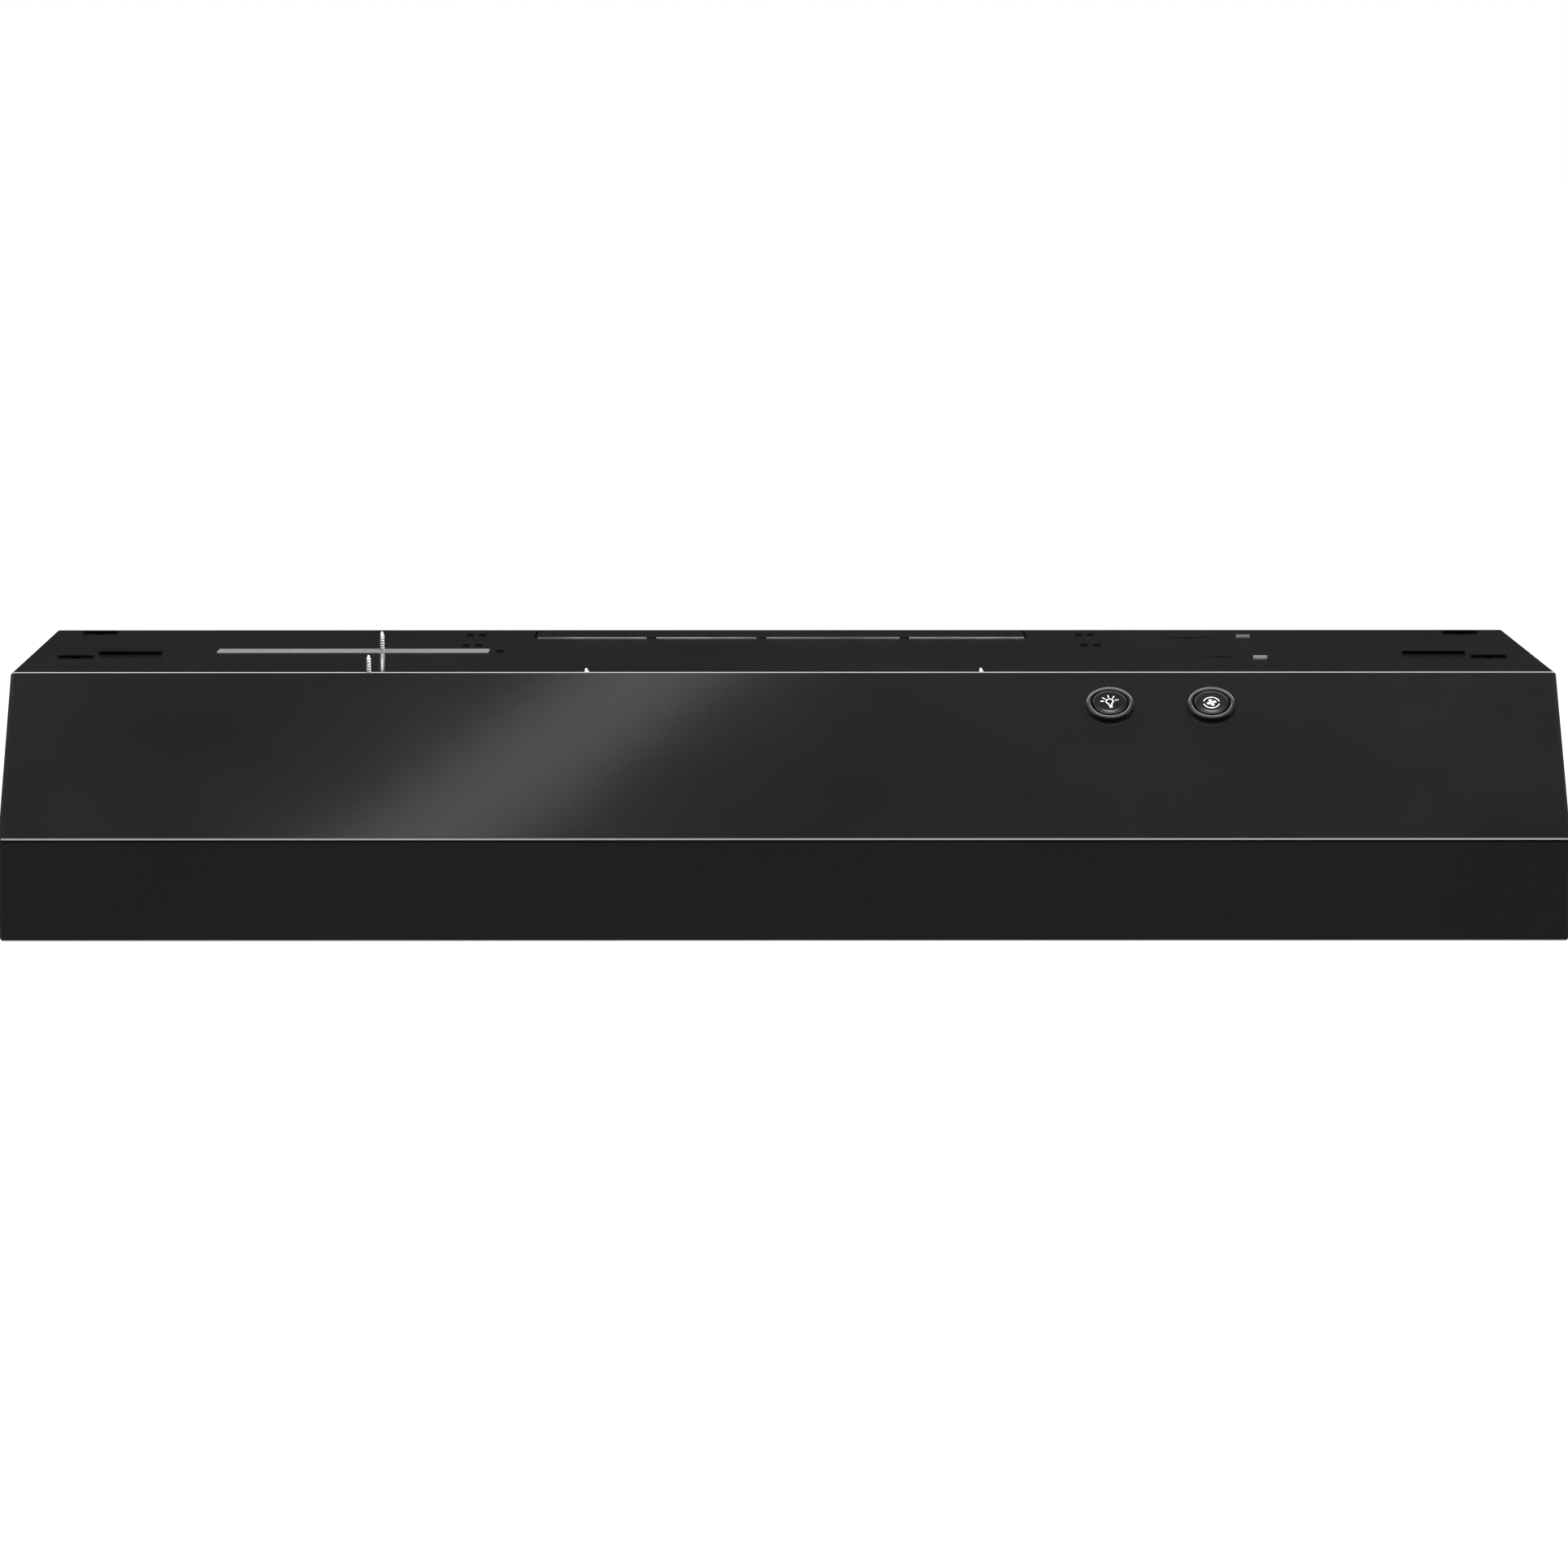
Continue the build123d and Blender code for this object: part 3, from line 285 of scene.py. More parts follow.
def finish_of(name, pattern, scale, colours, rough, bump=0.05, metallic=0.0, sockets=()):
    """Material whose colour and roughness follow a pattern's mask, with its height as bump.

    colours and rough are pairs: where the mask is 0, and where it is 1. bump is in millimetres,
    and sockets are pairs of a shader socket's name and its value.
    """
    title = name + "_finish"
    if title in bpy.data.materials:
        return bpy.data.materials[title]
    material = bpy.data.materials.new(title)
    material.use_nodes = True
    tree = material.node_tree
    shader = tree.nodes["Principled BSDF"]
    coordinates = tree.nodes.new("ShaderNodeTexCoord")
    skin = tree.nodes.new("ShaderNodeGroup")
    if pattern not in bpy.data.node_groups:
        PATTERNS[pattern]()
    skin.node_tree = bpy.data.node_groups[pattern]
    skin.inputs["Scale"].default_value = scale
    tree.links.new(coordinates.outputs["Object"], skin.inputs["Vector"])
    blend = tree.nodes.new("ShaderNodeMix")
    blend.data_type = "RGBA"
    blend.inputs["A"].default_value = (*colours[0], 1)
    blend.inputs["B"].default_value = (*colours[1], 1)
    tree.links.new(skin.outputs["Mask"], blend.inputs["Factor"])
    tree.links.new(blend.outputs["Result"], shader.inputs["Base Color"])
    tree.links.new(spread(tree, skin.outputs["Mask"], 0, 1, *rough), shader.inputs["Roughness"])
    relief = tree.nodes.new("ShaderNodeBump")
    relief.inputs["Distance"].default_value = bump * MM
    tree.links.new(skin.outputs["Height"], relief.inputs["Height"])
    tree.links.new(relief.outputs["Normal"], shader.inputs["Normal"])
    shader.inputs["Metallic"].default_value = metallic
    for label, value in sockets:
        shader.inputs[label].default_value = value
    return material


def grey(value, tint=0.0):
    """Near-neutral colour; a positive tint is warmer."""
    return (value * (1 + tint), value, value * (1 - tint))


# Slot: pattern, scale, colours, roughness, bump, metallic and any other shader sockets
PLAIN_FINISHES = {
    "interior_black": ("enamel_skin", 520.0, (grey(0.016), grey(0.024)), (0.34, 0.46), 0.05, 0.0),
    "galvanised": ("zinc_spangle", 110.0, (grey(0.36), grey(0.62)), (0.3, 0.5), 0.02, 0.92),
    "zinc_screws": ("drawn_grain", 900.0, (grey(0.4, 0.02), grey(0.62, 0.01)), (0.12, 0.24), 0.02, 1.0),
    "black_rivets": ("moulded_grain", 1400.0, (grey(0.015), grey(0.03)), (0.28, 0.42), 0.02, 0.0),
    "bezel_plastic": (
        "moulded_grain",
        1500.0,
        (grey(0.005), grey(0.008)),
        (0.26, 0.34),
        0.006,
        0.0,
        (("Specular IOR Level", 0.26),),
    ),
    "button_plastic": ("moulded_grain", 1500.0, (grey(0.004), grey(0.006)), (0.1, 0.16), 0.004, 0.0),
    "switch_plastic": ("moulded_grain", 1100.0, (grey(0.02), grey(0.032)), (0.42, 0.55), 0.02, 0.0),
    "motor_steel": ("drawn_grain", 500.0, (grey(0.3), grey(0.5)), (0.3, 0.48), 0.02, 0.95),
    "lamination": ("stacked_sheets", 1500.0, (grey(0.1, 0.05), grey(0.28, 0.02)), (0.35, 0.6), 0.06, 0.85),
    "copper_wire": (
        "drawn_grain",
        1200.0,
        ((0.42, 0.13, 0.05), (0.72, 0.3, 0.14)),
        (0.2, 0.42),
        0.1,
        0.9,
    ),
    "bronze": ("cast_speckle", 1800.0, ((0.32, 0.19, 0.07), (0.55, 0.36, 0.15)), (0.28, 0.5), 0.02, 0.9),
    "fan_blade": ("drawn_grain", 420.0, (grey(0.55), grey(0.74)), (0.24, 0.4), 0.02, 0.95),
    "shaft_steel": ("drawn_grain", 1000.0, (grey(0.5), grey(0.66)), (0.14, 0.28), 0.01, 1.0),
    "capacitor_case": ("drawn_grain", 340.0, (grey(0.5), grey(0.64)), (0.3, 0.45), 0.015, 0.9),
    "reflector_white": ("enamel_skin", 520.0, (grey(0.74, 0.01), grey(0.8, 0.015)), (0.3, 0.44), 0.04, 0.0),
    "socket_ceramic": ("cast_speckle", 700.0, (grey(0.62, 0.03), grey(0.76, 0.02)), (0.24, 0.36), 0.05, 0.0),
    "bulb_cap": ("drawn_grain", 800.0, ((0.5, 0.42, 0.28), (0.72, 0.62, 0.42)), (0.2, 0.36), 0.02, 1.0),
    "filter_frame": ("drawn_grain", 380.0, (grey(0.56), grey(0.72)), (0.28, 0.44), 0.015, 0.95),
    "filter_mesh": ("drawn_grain", 900.0, (grey(0.62), grey(0.8)), (0.24, 0.4), 0.02, 0.95),
    "lead_insulation": ("moulded_grain", 900.0, (grey(0.025), grey(0.045)), (0.32, 0.5), 0.03, 0.0),
}

# Slot: pattern, scale, colours, roughness, bump and how much light passes through
CLEAR_FINISHES = {
    "bulb_glass": ("enamel_skin", 900.0, (grey(0.86), grey(0.95)), (0.3, 0.42), 0.01, 0.45),
    "lens_plastic": ("prism_ribs", 105.0, (grey(0.8), grey(0.9)), (0.28, 0.4), 0.25, 0.6),
}


def plain_finish(slot):
    """The record slot's material, from the tables above."""
    if slot in CLEAR_FINISHES:
        pattern, scale, colours, rough, bump, clear = CLEAR_FINISHES[slot]
        sockets = [("Transmission Weight", clear)]
        return finish_of(slot, pattern, scale, colours, rough, bump, sockets=sockets)
    return finish_of(slot, *PLAIN_FINISHES[slot])


def dress(node, material):
    """Give a CAD node a material."""
    slots = NODES[node].data.materials
    slots.clear()
    slots.append(material)


# Mesh helpers


def arc(centre, radius, start, end, steps):
    """Points of an arc in the profile plane, angles in degrees."""
    angles = [radians(start + (end - start) * i / steps) for i in range(steps + 1)]
    return [(centre[0] + radius * cos(a), centre[1] + radius * sin(a)) for a in angles]


def lathe(bm, points, steps=48, closed=False):
    """Spin a (radius, height) outline round Z. Points on the axis close to a pole."""
    verts = [bm.verts.new((radius, 0, height)) for radius, height in points]
    pairs = list(zip(verts, verts[1:]))
    if closed:
        pairs.append((verts[-1], verts[0]))
    edges = [bm.edges.new(pair) for pair in pairs]
    bmesh.ops.spin(
        bm,
        geom=verts + edges,
        cent=(0, 0, 0),
        axis=(0, 0, 1),
        angle=TAU,
        steps=steps,
        use_merge=True,
    )
    bmesh.ops.remove_doubles(bm, verts=bm.verts, dist=WELD)


def coil(bm, section, pitch, turns, steps=20):
    """Closed outline of (radius, height) points wound round Z as a helix, with capped ends."""
    verts = [bm.verts.new((radius, 0, height)) for radius, height in section]
    face = bm.faces.new(verts)
    bmesh.ops.spin(
        bm,
        geom=[face, *face.edges, *face.verts],
        cent=(0, 0, 0),
        axis=(0, 0, 1),
        dvec=(0, 0, pitch / steps),
        angle=TAU * turns,
        steps=round(turns * steps),
        use_duplicate=False,
    )


def cuboid(bm, low, high, bevel=0.0, segments=1):
    """Box between two corners, with its edges rounded by bevel."""
    low, high = Vector(low), Vector(high)
    made = bmesh.ops.create_cube(bm, size=1.0)["verts"]
    bmesh.ops.scale(bm, verts=made, vec=high - low)
    bmesh.ops.translate(bm, verts=made, vec=(low + high) / 2)
    if bevel:
        edges = list(dict.fromkeys(edge for vert in made for edge in vert.link_edges))
        round_edges(bm, edges, bevel, segments)


def round_edges(bm, edges, width, segments=2):
    """Bevel with the editor's usual settings."""
    bmesh.ops.bevel(
        bm,
        geom=edges,
        offset=width,
        offset_type="OFFSET",
        segments=segments,
        profile=0.5,
        affect="EDGES",
        material=-1,
        clamp_overlap=True,
    )


def prism(bm, outline, height, base=0.0, segments=0, bevel=0.0):
    """Closed XY outline raised from base to base + height; bevel rounds its top rim."""
    verts = [bm.verts.new((x, y, base)) for x, y in outline]
    face = bm.faces.new(verts)
    result = bmesh.ops.extrude_face_region(bm, geom=[face])
    top = [item for item in result["geom"] if isinstance(item, bmesh.types.BMVert)]
    bmesh.ops.translate(bm, verts=top, vec=(0, 0, height))
    if not face.is_valid:
        bm.faces.new(list(reversed(verts)))
    if bevel:
        lid = set(top)
        rim = [e for e in bm.edges if e.verts[0] in lid and e.verts[1] in lid]
        round_edges(bm, rim, bevel, segments)


def polygon(count, radius, turn=0.0):
    """Corners of a regular polygon."""
    return [
        (radius * cos(turn + TAU * i / count), radius * sin(turn + TAU * i / count))
        for i in range(count)
    ]


def quarter(steps):
    """Angles of a quarter turn."""
    return [pi / 2 * i / steps for i in range(steps + 1)]


def rounded_rectangle(x0, y0, x1, y1, corner, steps):
    """Outline with round corners, from its right edge's far end."""
    return [
        *arc((x1 - corner, y1 - corner), corner, 0, 90, steps),
        *arc((x0 + corner, y1 - corner), corner, 90, 180, steps),
        *arc((x0 + corner, y0 + corner), corner, 180, 270, steps),
        *arc((x1 - corner, y0 + corner), corner, 270, 360, steps),
    ]


def absorb(bm, other):
    """Add another bmesh to this one and free it."""
    mesh = bpy.data.meshes.new("part")
    other.to_mesh(mesh)
    other.free()
    bm.from_mesh(mesh)
    bpy.data.meshes.remove(mesh)


def move(bm, matrix):
    """Move everything in a bmesh."""
    bmesh.ops.transform(bm, matrix=matrix, verts=bm.verts)


def frame_at(origin, up, across=(1, 0, 0)):
    """Matrix whose Z axis is up and whose X axis follows across, at origin."""
    z = Vector(up).normalized()
    x = Vector(across)
    x = (x - z * x.dot(z)).normalized()
    y = z.cross(x)
    matrix = Matrix((x, y, z)).transposed().to_4x4()
    matrix.translation = Vector(origin)
    return matrix


def level_axis(low, high):
    """Matrix whose Z axis runs along X through the middle of a box, from its left end."""
    middle = (low + high) / 2
    return frame_at((low.x, middle.y, middle.z), (1, 0, 0), (0, 1, 0))


def piece(name, bm, body, slot, replaces=(), smooth=30.0, recalc=True, material=None):
    """Turn a bmesh into a finished piece that rides on a body.

    smooth is the angle in degrees up to which edges are shaded smooth. The material is the
    slot's own where none is given.
    """
    if recalc:
        bmesh.ops.recalc_face_normals(bm, faces=bm.faces)
    mesh = bpy.data.meshes.new(name)
    bm.to_mesh(mesh)
    bm.free()
    for face in mesh.polygons:
        face.use_smooth = True
    mesh.set_sharp_from_angle(angle=radians(smooth))
    mesh.materials.append(material or plain_finish(slot))
    made = bpy.data.objects.new(name, mesh)
    bpy.context.scene.collection.objects.link(made)
    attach(made, body)
    if replaces:
        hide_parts(*replaces)


def threaded_shank(bm, radius, pitch, bottom, top):
    """Screw shank with a rolled thread between two heights and a short gimlet point at the top."""
    steps = 20
    core = 0.74 * radius
    tip = 0.6 * radius
    lathe(
        bm,
        [(0, bottom), (core, bottom), (core, top - tip), (core * 0.45, top - 0.3 * tip), (0, top)],
        steps,
    )
    turns = (top - tip - bottom - pitch) / pitch
    if turns < 0.5:
        return
    root = core * 0.92
    thread = [
        (root + (radius - root) * sin(pi * i / 6), bottom + pitch * 0.8 * i / 6) for i in range(7)
    ]
    coil(bm, thread, pitch, turns, steps)


def hex_washer_head(bm, across, height, seat):
    """Washer flange below the seat, and a hex head with a chamfered crown below that."""
    flange = 0.3 * height
    lathe(
        bm,
        [
            (0, seat),
            (across * 0.66, seat),
            (across * 0.66, seat - flange * 0.6),
            (across * 0.6, seat - flange),
            (0, seat - flange),
        ],
        36,
    )
    ring = polygon(6, across / 2 / cos(pi / 6))
    base = seat - flange * 0.9
    prism(bm, ring, flange - height, base, 2, 0.07 * across)
    crown = seat - (height + 0.01 * across)
    foot = seat - (height - 0.04 * across)
    lathe(
        bm,
        [
            (0, crown),
            (across * 0.36, crown),
            (across * 0.44, foot),
            (0, foot),
        ],
        36,
    )


def wire(bm, points, normals, side, radius, sides):
    """Round wire along a closed flat path; normals lie in its plane and side is square to it."""
    rings = []
    for point, normal in zip(points, normals):
        ring = []
        for i in range(sides):
            a = TAU * i / sides
            offset = Vector(normal) * cos(a) * radius + Vector(side) * sin(a) * radius
            ring.append(bm.verts.new(Vector(point) + offset))
        rings.append(ring)
    for here, there in zip(rings, [*rings[1:], rings[0]]):
        for j in range(sides):
            k = (j + 1) % sides
            bm.faces.new((here[j], here[k], there[k], there[j]))


# Screws and rivets


class FastenerSettings(bpy.types.PropertyGroup):
    """Screws and rivets."""

    pitch: FloatProperty(
        name="Thread pitch",
        description="Rise of a sheet metal screw's thread in one turn",
        default=1.2 * MM,
        min=0.5 * MM,
        unit="LENGTH",
    )
    shank: FloatProperty(
        name="Shank radius",
        description="Outer radius of the thread",
        default=1.4 * MM,
        min=0.5 * MM,
        unit="LENGTH",
    )
    hex_size: FloatProperty(
        name="Hex size",
        description="Width of the hex heads across their flats",
        default=6.4 * MM,
        min=2 * MM,
        unit="LENGTH",
    )
    rivet_dimple: FloatProperty(
        name="Rivet dimple",
        description="Radius of the mandrel hole in a rivet's head",
        default=0.9 * MM,
        min=0.1 * MM,
        unit="LENGTH",
    )


class HOOD_OT_top_screws(bpy.types.Operator):
    """Threaded screws driven up through the top sheet"""

    bl_idname = "hood.top_screws"
    bl_label = "Top screws"

    def execute(self, context):
        settings = context.scene.hood_fasteners
        for node in ("air_box_screw", "cable_clip_screw", "lamp_screws"):
            bm = bmesh.new()
            for low, high in solids_of(node):
                one = bmesh.new()
                head = 2.6 * MM
                threaded_shank(one, settings.shank, settings.pitch, low.z + head * 0.5, high.z)
                hex_washer_head(one, settings.hex_size, head, low.z + head)
                bmesh.ops.recalc_face_normals(one, faces=one.faces)
                move(one, Matrix.Translation(((low.x + high.x) / 2, (low.y + high.y) / 2, 0)))
                absorb(bm, one)
            piece(f"{node}_threaded", bm, "canopy", "zinc_screws", [node], 45)
        return {"FINISHED"}


class HOOD_OT_rivets(bpy.types.Operator):
    """Domed pop rivets through the end panels"""

    bl_idname = "hood.rivets"
    bl_label = "End rivets"

    def execute(self, context):
        dimple = context.scene.hood_fasteners.rivet_dimple
        bm = bmesh.new()
        for low, high in solids_of("end_rivets"):
            middle = (low + high) / 2
            side = 1 if middle.x > 0 else -1
            outer = max(abs(low.x), abs(high.x))
            radius = (high.z - low.z) / 2
            head, stem, depth = 0.74 * MM, 1.5 * MM, 3.4 * MM
            one = bmesh.new()
            crown = [
                (radius * cos(a), head * sin(a) - head)
                for a in (radians(5 + 60 * i / 5) for i in range(6))
            ]
            lathe(
                one,
                [
                    (0, -depth),
                    (stem, 0.4 * MM - depth),
                    (stem + 0.05 * MM, -head),
                    (radius, -head),
                    *crown,
                    (dimple + 0.15 * MM, -0.02 * MM),
                    (dimple, -0.12 * MM),
                    (dimple, -head * 0.9),
                    (0, -head * 0.8),
                ],
                32,
            )
            bmesh.ops.recalc_face_normals(one, faces=one.faces)
            move(one, frame_at((side * outer, middle.y, middle.z), (side, 0, 0), (0, 1, 0)))
            absorb(bm, one)
        piece("end_rivets_domed", bm, "canopy", "black_rivets", ["end_rivets"])
        return {"FINISHED"}


class HOOD_OT_small_screws(bpy.types.Operator):
    """Screws of the back sheet, the motor bracket and the wiring cover"""

    bl_idname = "hood.small_screws"
    bl_label = "Small screws"

    def execute(self, context):
        settings = context.scene.hood_fasteners
        directions = {
            "back_screws": (0, 1, 0),
            "bracket_screws": (0, 0, -1),
            "wiring_cover_screw": (0, 0, 1),
        }
        for node, point in directions.items():
            bm = bmesh.new()
            for low, high in solids_of(node):
                one = bmesh.new()
                axis = Vector(point)
                size = high - low
                length = abs(axis.dot(size))
                head = 2.5 * MM
                threaded_shank(one, settings.shank, settings.pitch, head * 0.5, length)
                hex_washer_head(one, settings.hex_size, head, head)
                bmesh.ops.recalc_face_normals(one, faces=one.faces)
                start = (low + high) / 2 - axis * length / 2
                move(one, frame_at(start, axis, (1, 0, 0)))
                absorb(bm, one)
            piece(f"{node}_threaded", bm, "canopy", "zinc_screws", [node])
        return {"FINISHED"}


# Push buttons


class ButtonSettings(bpy.types.PropertyGroup):
    """Push buttons, their rings and their printed marks."""

    mark_rise: FloatProperty(
        name="Mark rise",
        description="Thickness of the printed marks",
        default=0.05 * MM,
        min=0.01 * MM,
        unit="LENGTH",
    )
    mark_line: FloatProperty(
        name="Mark line",
        description="Width of the lines in the printed marks",
        default=0.56 * MM,
        min=0.1 * MM,
        unit="LENGTH",
    )
    crown: FloatProperty(
        name="Crown",
        description="How far the button's middle dips below its rim",
        default=0.25 * MM,
        min=0,
        unit="LENGTH",
    )


def slope_place(node):
    """Matrix at a button's or a ring's top, Z out of the slope and Y up it, and its radius."""
    low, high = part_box(node)
    bm = bmesh.new()
    bm.from_mesh(NODES[node].data)
    heights = [vert.co.dot(SLOPE_UP) for vert in bm.verts]
    top = max(heights)
    rim = [vert.co.copy() for vert in bm.verts if vert.co.dot(SLOPE_UP) > top - 0.02 * MM]
    bm.free()
    centre = sum(rim, Vector()) / len(rim)
    span_low = min(co.x for co in rim)
    span_high = max(co.x for co in rim)
    along = Vector((0, -SLOPE_UP.z, SLOPE_UP.y))
    downs = [co.dot(along) for co in rim]
    middle_down = (min(downs) + max(downs)) / 2
    centre += along * (middle_down - centre.dot(along))
    centre.x = (span_low + span_high) / 2
    return frame_at(centre, SLOPE_UP), (high.x - low.x) / 2


def stroke(bm, start, end, width, rise):
    """Straight printed line with rounded ends."""
    start, end = Vector(start), Vector(end)
    along = (end - start).normalized()
    turn = atan2(along.y, along.x)
    half = width / 2
    outline = []
    for centre, base in ((end, -90), (start, 90)):
        for i in range(7):
            a = turn + radians(base + 30 * i)
            outline.append((centre.x + half * cos(a), centre.y + half * sin(a)))
    prism(bm, outline, rise)


def curved_stroke(bm, centre, radius, start, end, width, rise, steps):
    """Printed arc with flat ends, angles in degrees."""
    outer = arc(centre, radius + width / 2, start, end, steps)
    inner = arc(centre, radius - width / 2, end, start, steps)
    for i in range(steps):
        quad = [outer[i], outer[i + 1], inner[steps - i - 1], inner[steps - i]]
        prism(bm, quad, rise)
    bmesh.ops.remove_doubles(bm, verts=bm.verts, dist=WELD)


def lamp_mark(bm, line, rise):
    """Bulb outline with its cap and five rays."""
    middle, half_cap = 0.9 * MM, 0.55 * MM
    inner, outer = 2.95 * MM, 4.3 * MM
    curved_stroke(bm, (0.0, middle), 1.75 * MM, -58, 238, line, rise, 24)
    for side in (-1, 1):
        stroke(bm, (side * 0.85 * MM, -0.65 * MM), (side * 0.7 * MM, -1.7 * MM), line, rise)
    for level in (-2.1 * MM, -2.75 * MM, -3.4 * MM):
        stroke(bm, (-half_cap, level), (half_cap, level), line * 0.8, rise)
    for angle in (8, 50, 92, 134, 172):
        a = radians(angle)
        start = (inner * cos(a), middle + inner * sin(a))
        end = (outer * cos(a), middle + outer * sin(a))
        stroke(bm, start, end, line * 0.85, rise)


def fan_mark(bm, line, rise):
    """Four blades inside a ring broken at its left and right."""
    for start in (14, 194):
        curved_stroke(bm, (0, 0), 3.85 * MM, start, start + 152, line * 0.8, rise, 24)
    for turn in range(4):
        a = TAU * turn / 4 + radians(20)
        blade = []
        for radius, angle in (
            (0.4, 40),
            (1.1, 42),
            (1.9, 30),
            (2.4, 8),
            (2.35, -14),
            (1.8, -26),
            (1.0, -22),
            (0.5, -30),
        ):
            b = a + radians(angle)
            blade.append((radius * MM * cos(b), radius * MM * sin(b)))
        prism(bm, blade, rise)


MARKS = {"light": (lamp_mark, radians(8)), "fan": (fan_mark, 0.0)}


class HOOD_OT_buttons(bpy.types.Operator):
    """Push buttons with printed marks, and the glossy rings round them"""

    bl_idname = "hood.buttons"
    bl_label = "Push buttons"

    def execute(self, context):
        settings = context.scene.hood_buttons
        white = finish_of(
            "mark_white", "moulded_grain", 2200.0, (grey(0.78), grey(0.88)), (0.45, 0.55), 0.01
        )
        for word, (mark, tilt) in MARKS.items():
            matrix, radius = slope_place(f"{word}_button")
            rim, stem, depth, skirt = 0.35 * MM, 3.0 * MM, 14.6 * MM, 3.9 * MM
            dip = settings.crown
            bm = bmesh.new()
            lathe(
                bm,
                [
                    (0, -depth),
                    (stem - 0.3 * MM, -depth),
                    (stem, 0.4 * MM - depth),
                    (stem, -skirt),
                    (radius - 0.9 * MM, -skirt),
                    (radius - 0.05 * MM, 0.2 * MM - skirt),
                    (radius, -rim),
                    *arc((radius - rim, -rim), rim, 10, 80, 6),
                    (radius - 1.0 * MM, -0.04 * MM),
                    (radius - 2.2 * MM, -dip * 0.7),
                    (radius - 3.2 * MM, -dip),
                    (0, -dip),
                ],
                96,
            )
            move(bm, matrix)
            body = f"{word}_button"
            piece(f"{word}_button_cap", bm, body, "button_plastic", [body], 40)
            bm = bmesh.new()
            mark(bm, settings.mark_line, settings.mark_rise)
            move(bm, matrix @ Matrix.Translation((0, 0, -dip)) @ Matrix.Rotation(tilt, 4, "Z"))
            piece(f"{word}_mark", bm, body, "button_plastic", smooth=20, material=white)
            self.ring(word)
        return {"FINISHED"}

    def ring(self, word):
        """Ring with a rolled crest, a dished inside and a barrel through the slope."""
        matrix, radius = slope_place(f"{word}_bezel")
        bore, barrel, depth = 8.9 * MM, 9.75 * MM, 8.6 * MM
        crest, roll = 2.78 * MM, 1.3 * MM
        outline = [
            (bore, -depth),
            (barrel, -depth),
            (barrel, -crest + 0.03 * MM),
            (radius, -crest + 0.03 * MM),
            (radius + 0.02 * MM, -crest + 0.35 * MM),
            *arc((radius - roll, -roll), roll, 0, 128, 18),
            (bore + 0.2 * MM, -1.75 * MM),
            (bore, -2.1 * MM),
        ]
        bm = bmesh.new()
        lathe(bm, outline, 128, closed=True)
        move(bm, matrix)
        piece(f"{word}_ring", bm, "canopy", "bezel_plastic", [f"{word}_bezel"], 35)


# Rating label, left blank


class LabelSettings(bpy.types.PropertyGroup):
    """Blank rating label on the top sheet."""

    low: FloatVectorProperty(
        name="Front left corner",
        description="Left and front edges of the label, from the middle of the wall edge",
        size=2,
        default=(-0.286, -0.1955),
        unit="LENGTH",
    )
    high: FloatVectorProperty(
        name="Rear right corner",
        description="Right and rear edges of the label, from the middle of the wall edge",
        size=2,
        default=(-0.1485, -0.163),
        unit="LENGTH",
    )


class HOOD_OT_label(bpy.types.Operator):
    """Blank silver label with rounded corners"""

    bl_idname = "hood.label"
    bl_label = "Label"

    def execute(self, context):
        settings = context.scene.hood_label
        (x0, y0), (x1, y1) = settings.low, settings.high
        corner, thick = 2.0 * MM, 0.12 * MM
        bm = bmesh.new()
        outline = rounded_rectangle(x0, y0, x1, y1, corner, 6)
        prism(bm, outline, thick, 0.01 * MM, 2, 0.04 * MM)
        foil = finish_of(
            "label_foil",
            "drawn_grain",
            700.0,
            (grey(0.045), grey(0.075)),
            (0.55, 0.65),
            0.01,
            sockets=[("Specular IOR Level", 0.2)],
        )
        piece("blank_label", bm, "canopy", "galvanised", smooth=20, material=foil)
        # A dark band across the label's middle
        band = bmesh.new()
        middle, half = (y0 + y1) / 2, 1.6 * MM
        low = (x0 + corner, middle - half, thick - 0.02 * MM)
        high = (x1 - 2 * corner, middle + half, thick + 0.04 * MM)
        cuboid(band, low, high)
        band_colour = finish_of(
            "label_band", "moulded_grain", 1500.0, (grey(0.02), grey(0.035)), (0.5, 0.6), 0.004
        )
        piece("label_band", band, "canopy", "galvanised", smooth=20, material=band_colour)
        return {"FINISHED"}


class HOOD_OT_edge_highlight(bpy.types.Operator):
    """Painted highlight: a light steel strip on the duct knock-out's front cut edge, between its bridges"""

    bl_idname = "hood.sheared_edge"
    bl_label = "Sheared edge"

    def execute(self, context):
        front, half, rise = -69.4 * MM, 126.0 * MM, 0.36 * MM
        bridges = [-67 * MM, -10 * MM, 64 * MM]
        gap = 2.5 * MM
        starts = [-half, *[x + gap for x in bridges]]
        ends = [*[x - gap for x in bridges], half]
        bm = bmesh.new()
        for start, end in zip(starts, ends):
            low = (start, front - 0.14 * MM, 0.02 * MM)
            high = (end, front - 0.01 * MM, rise)
            cuboid(bm, low, high, 0.03 * MM)
        # Painted highlight: the strip's light steel colour stands for light falling on the knock-out's
        # painted cut edge
        steel = finish_of(
            "highlight_steel", "drawn_grain", 260.0, (grey(0.1), grey(0.7)), (0.3, 0.5), 0.02, 0.8
        )
        piece("knockout_painted_highlight", bm, "canopy", "zinc_screws", smooth=20, material=steel)
        return {"FINISHED"}


# Grease filters


class FilterSettings(bpy.types.PropertyGroup):
    """Mesh grease filters."""

    cell: FloatProperty(
        name="Cell length",
        description="Length of a diamond in the expanded mesh",
        default=9.0 * MM,
        min=3 * MM,
        unit="LENGTH",
    )
    strand: FloatProperty(
        name="Strand",
        description="Width of a strand in the expanded mesh",
        default=0.5 * MM,
        min=0.1 * MM,
        unit="LENGTH",
    )
    rail: FloatProperty(
        name="Frame rail",
        description="Width of the frame's channel",
        default=12 * MM,
        min=4 * MM,
        unit="LENGTH",
    )


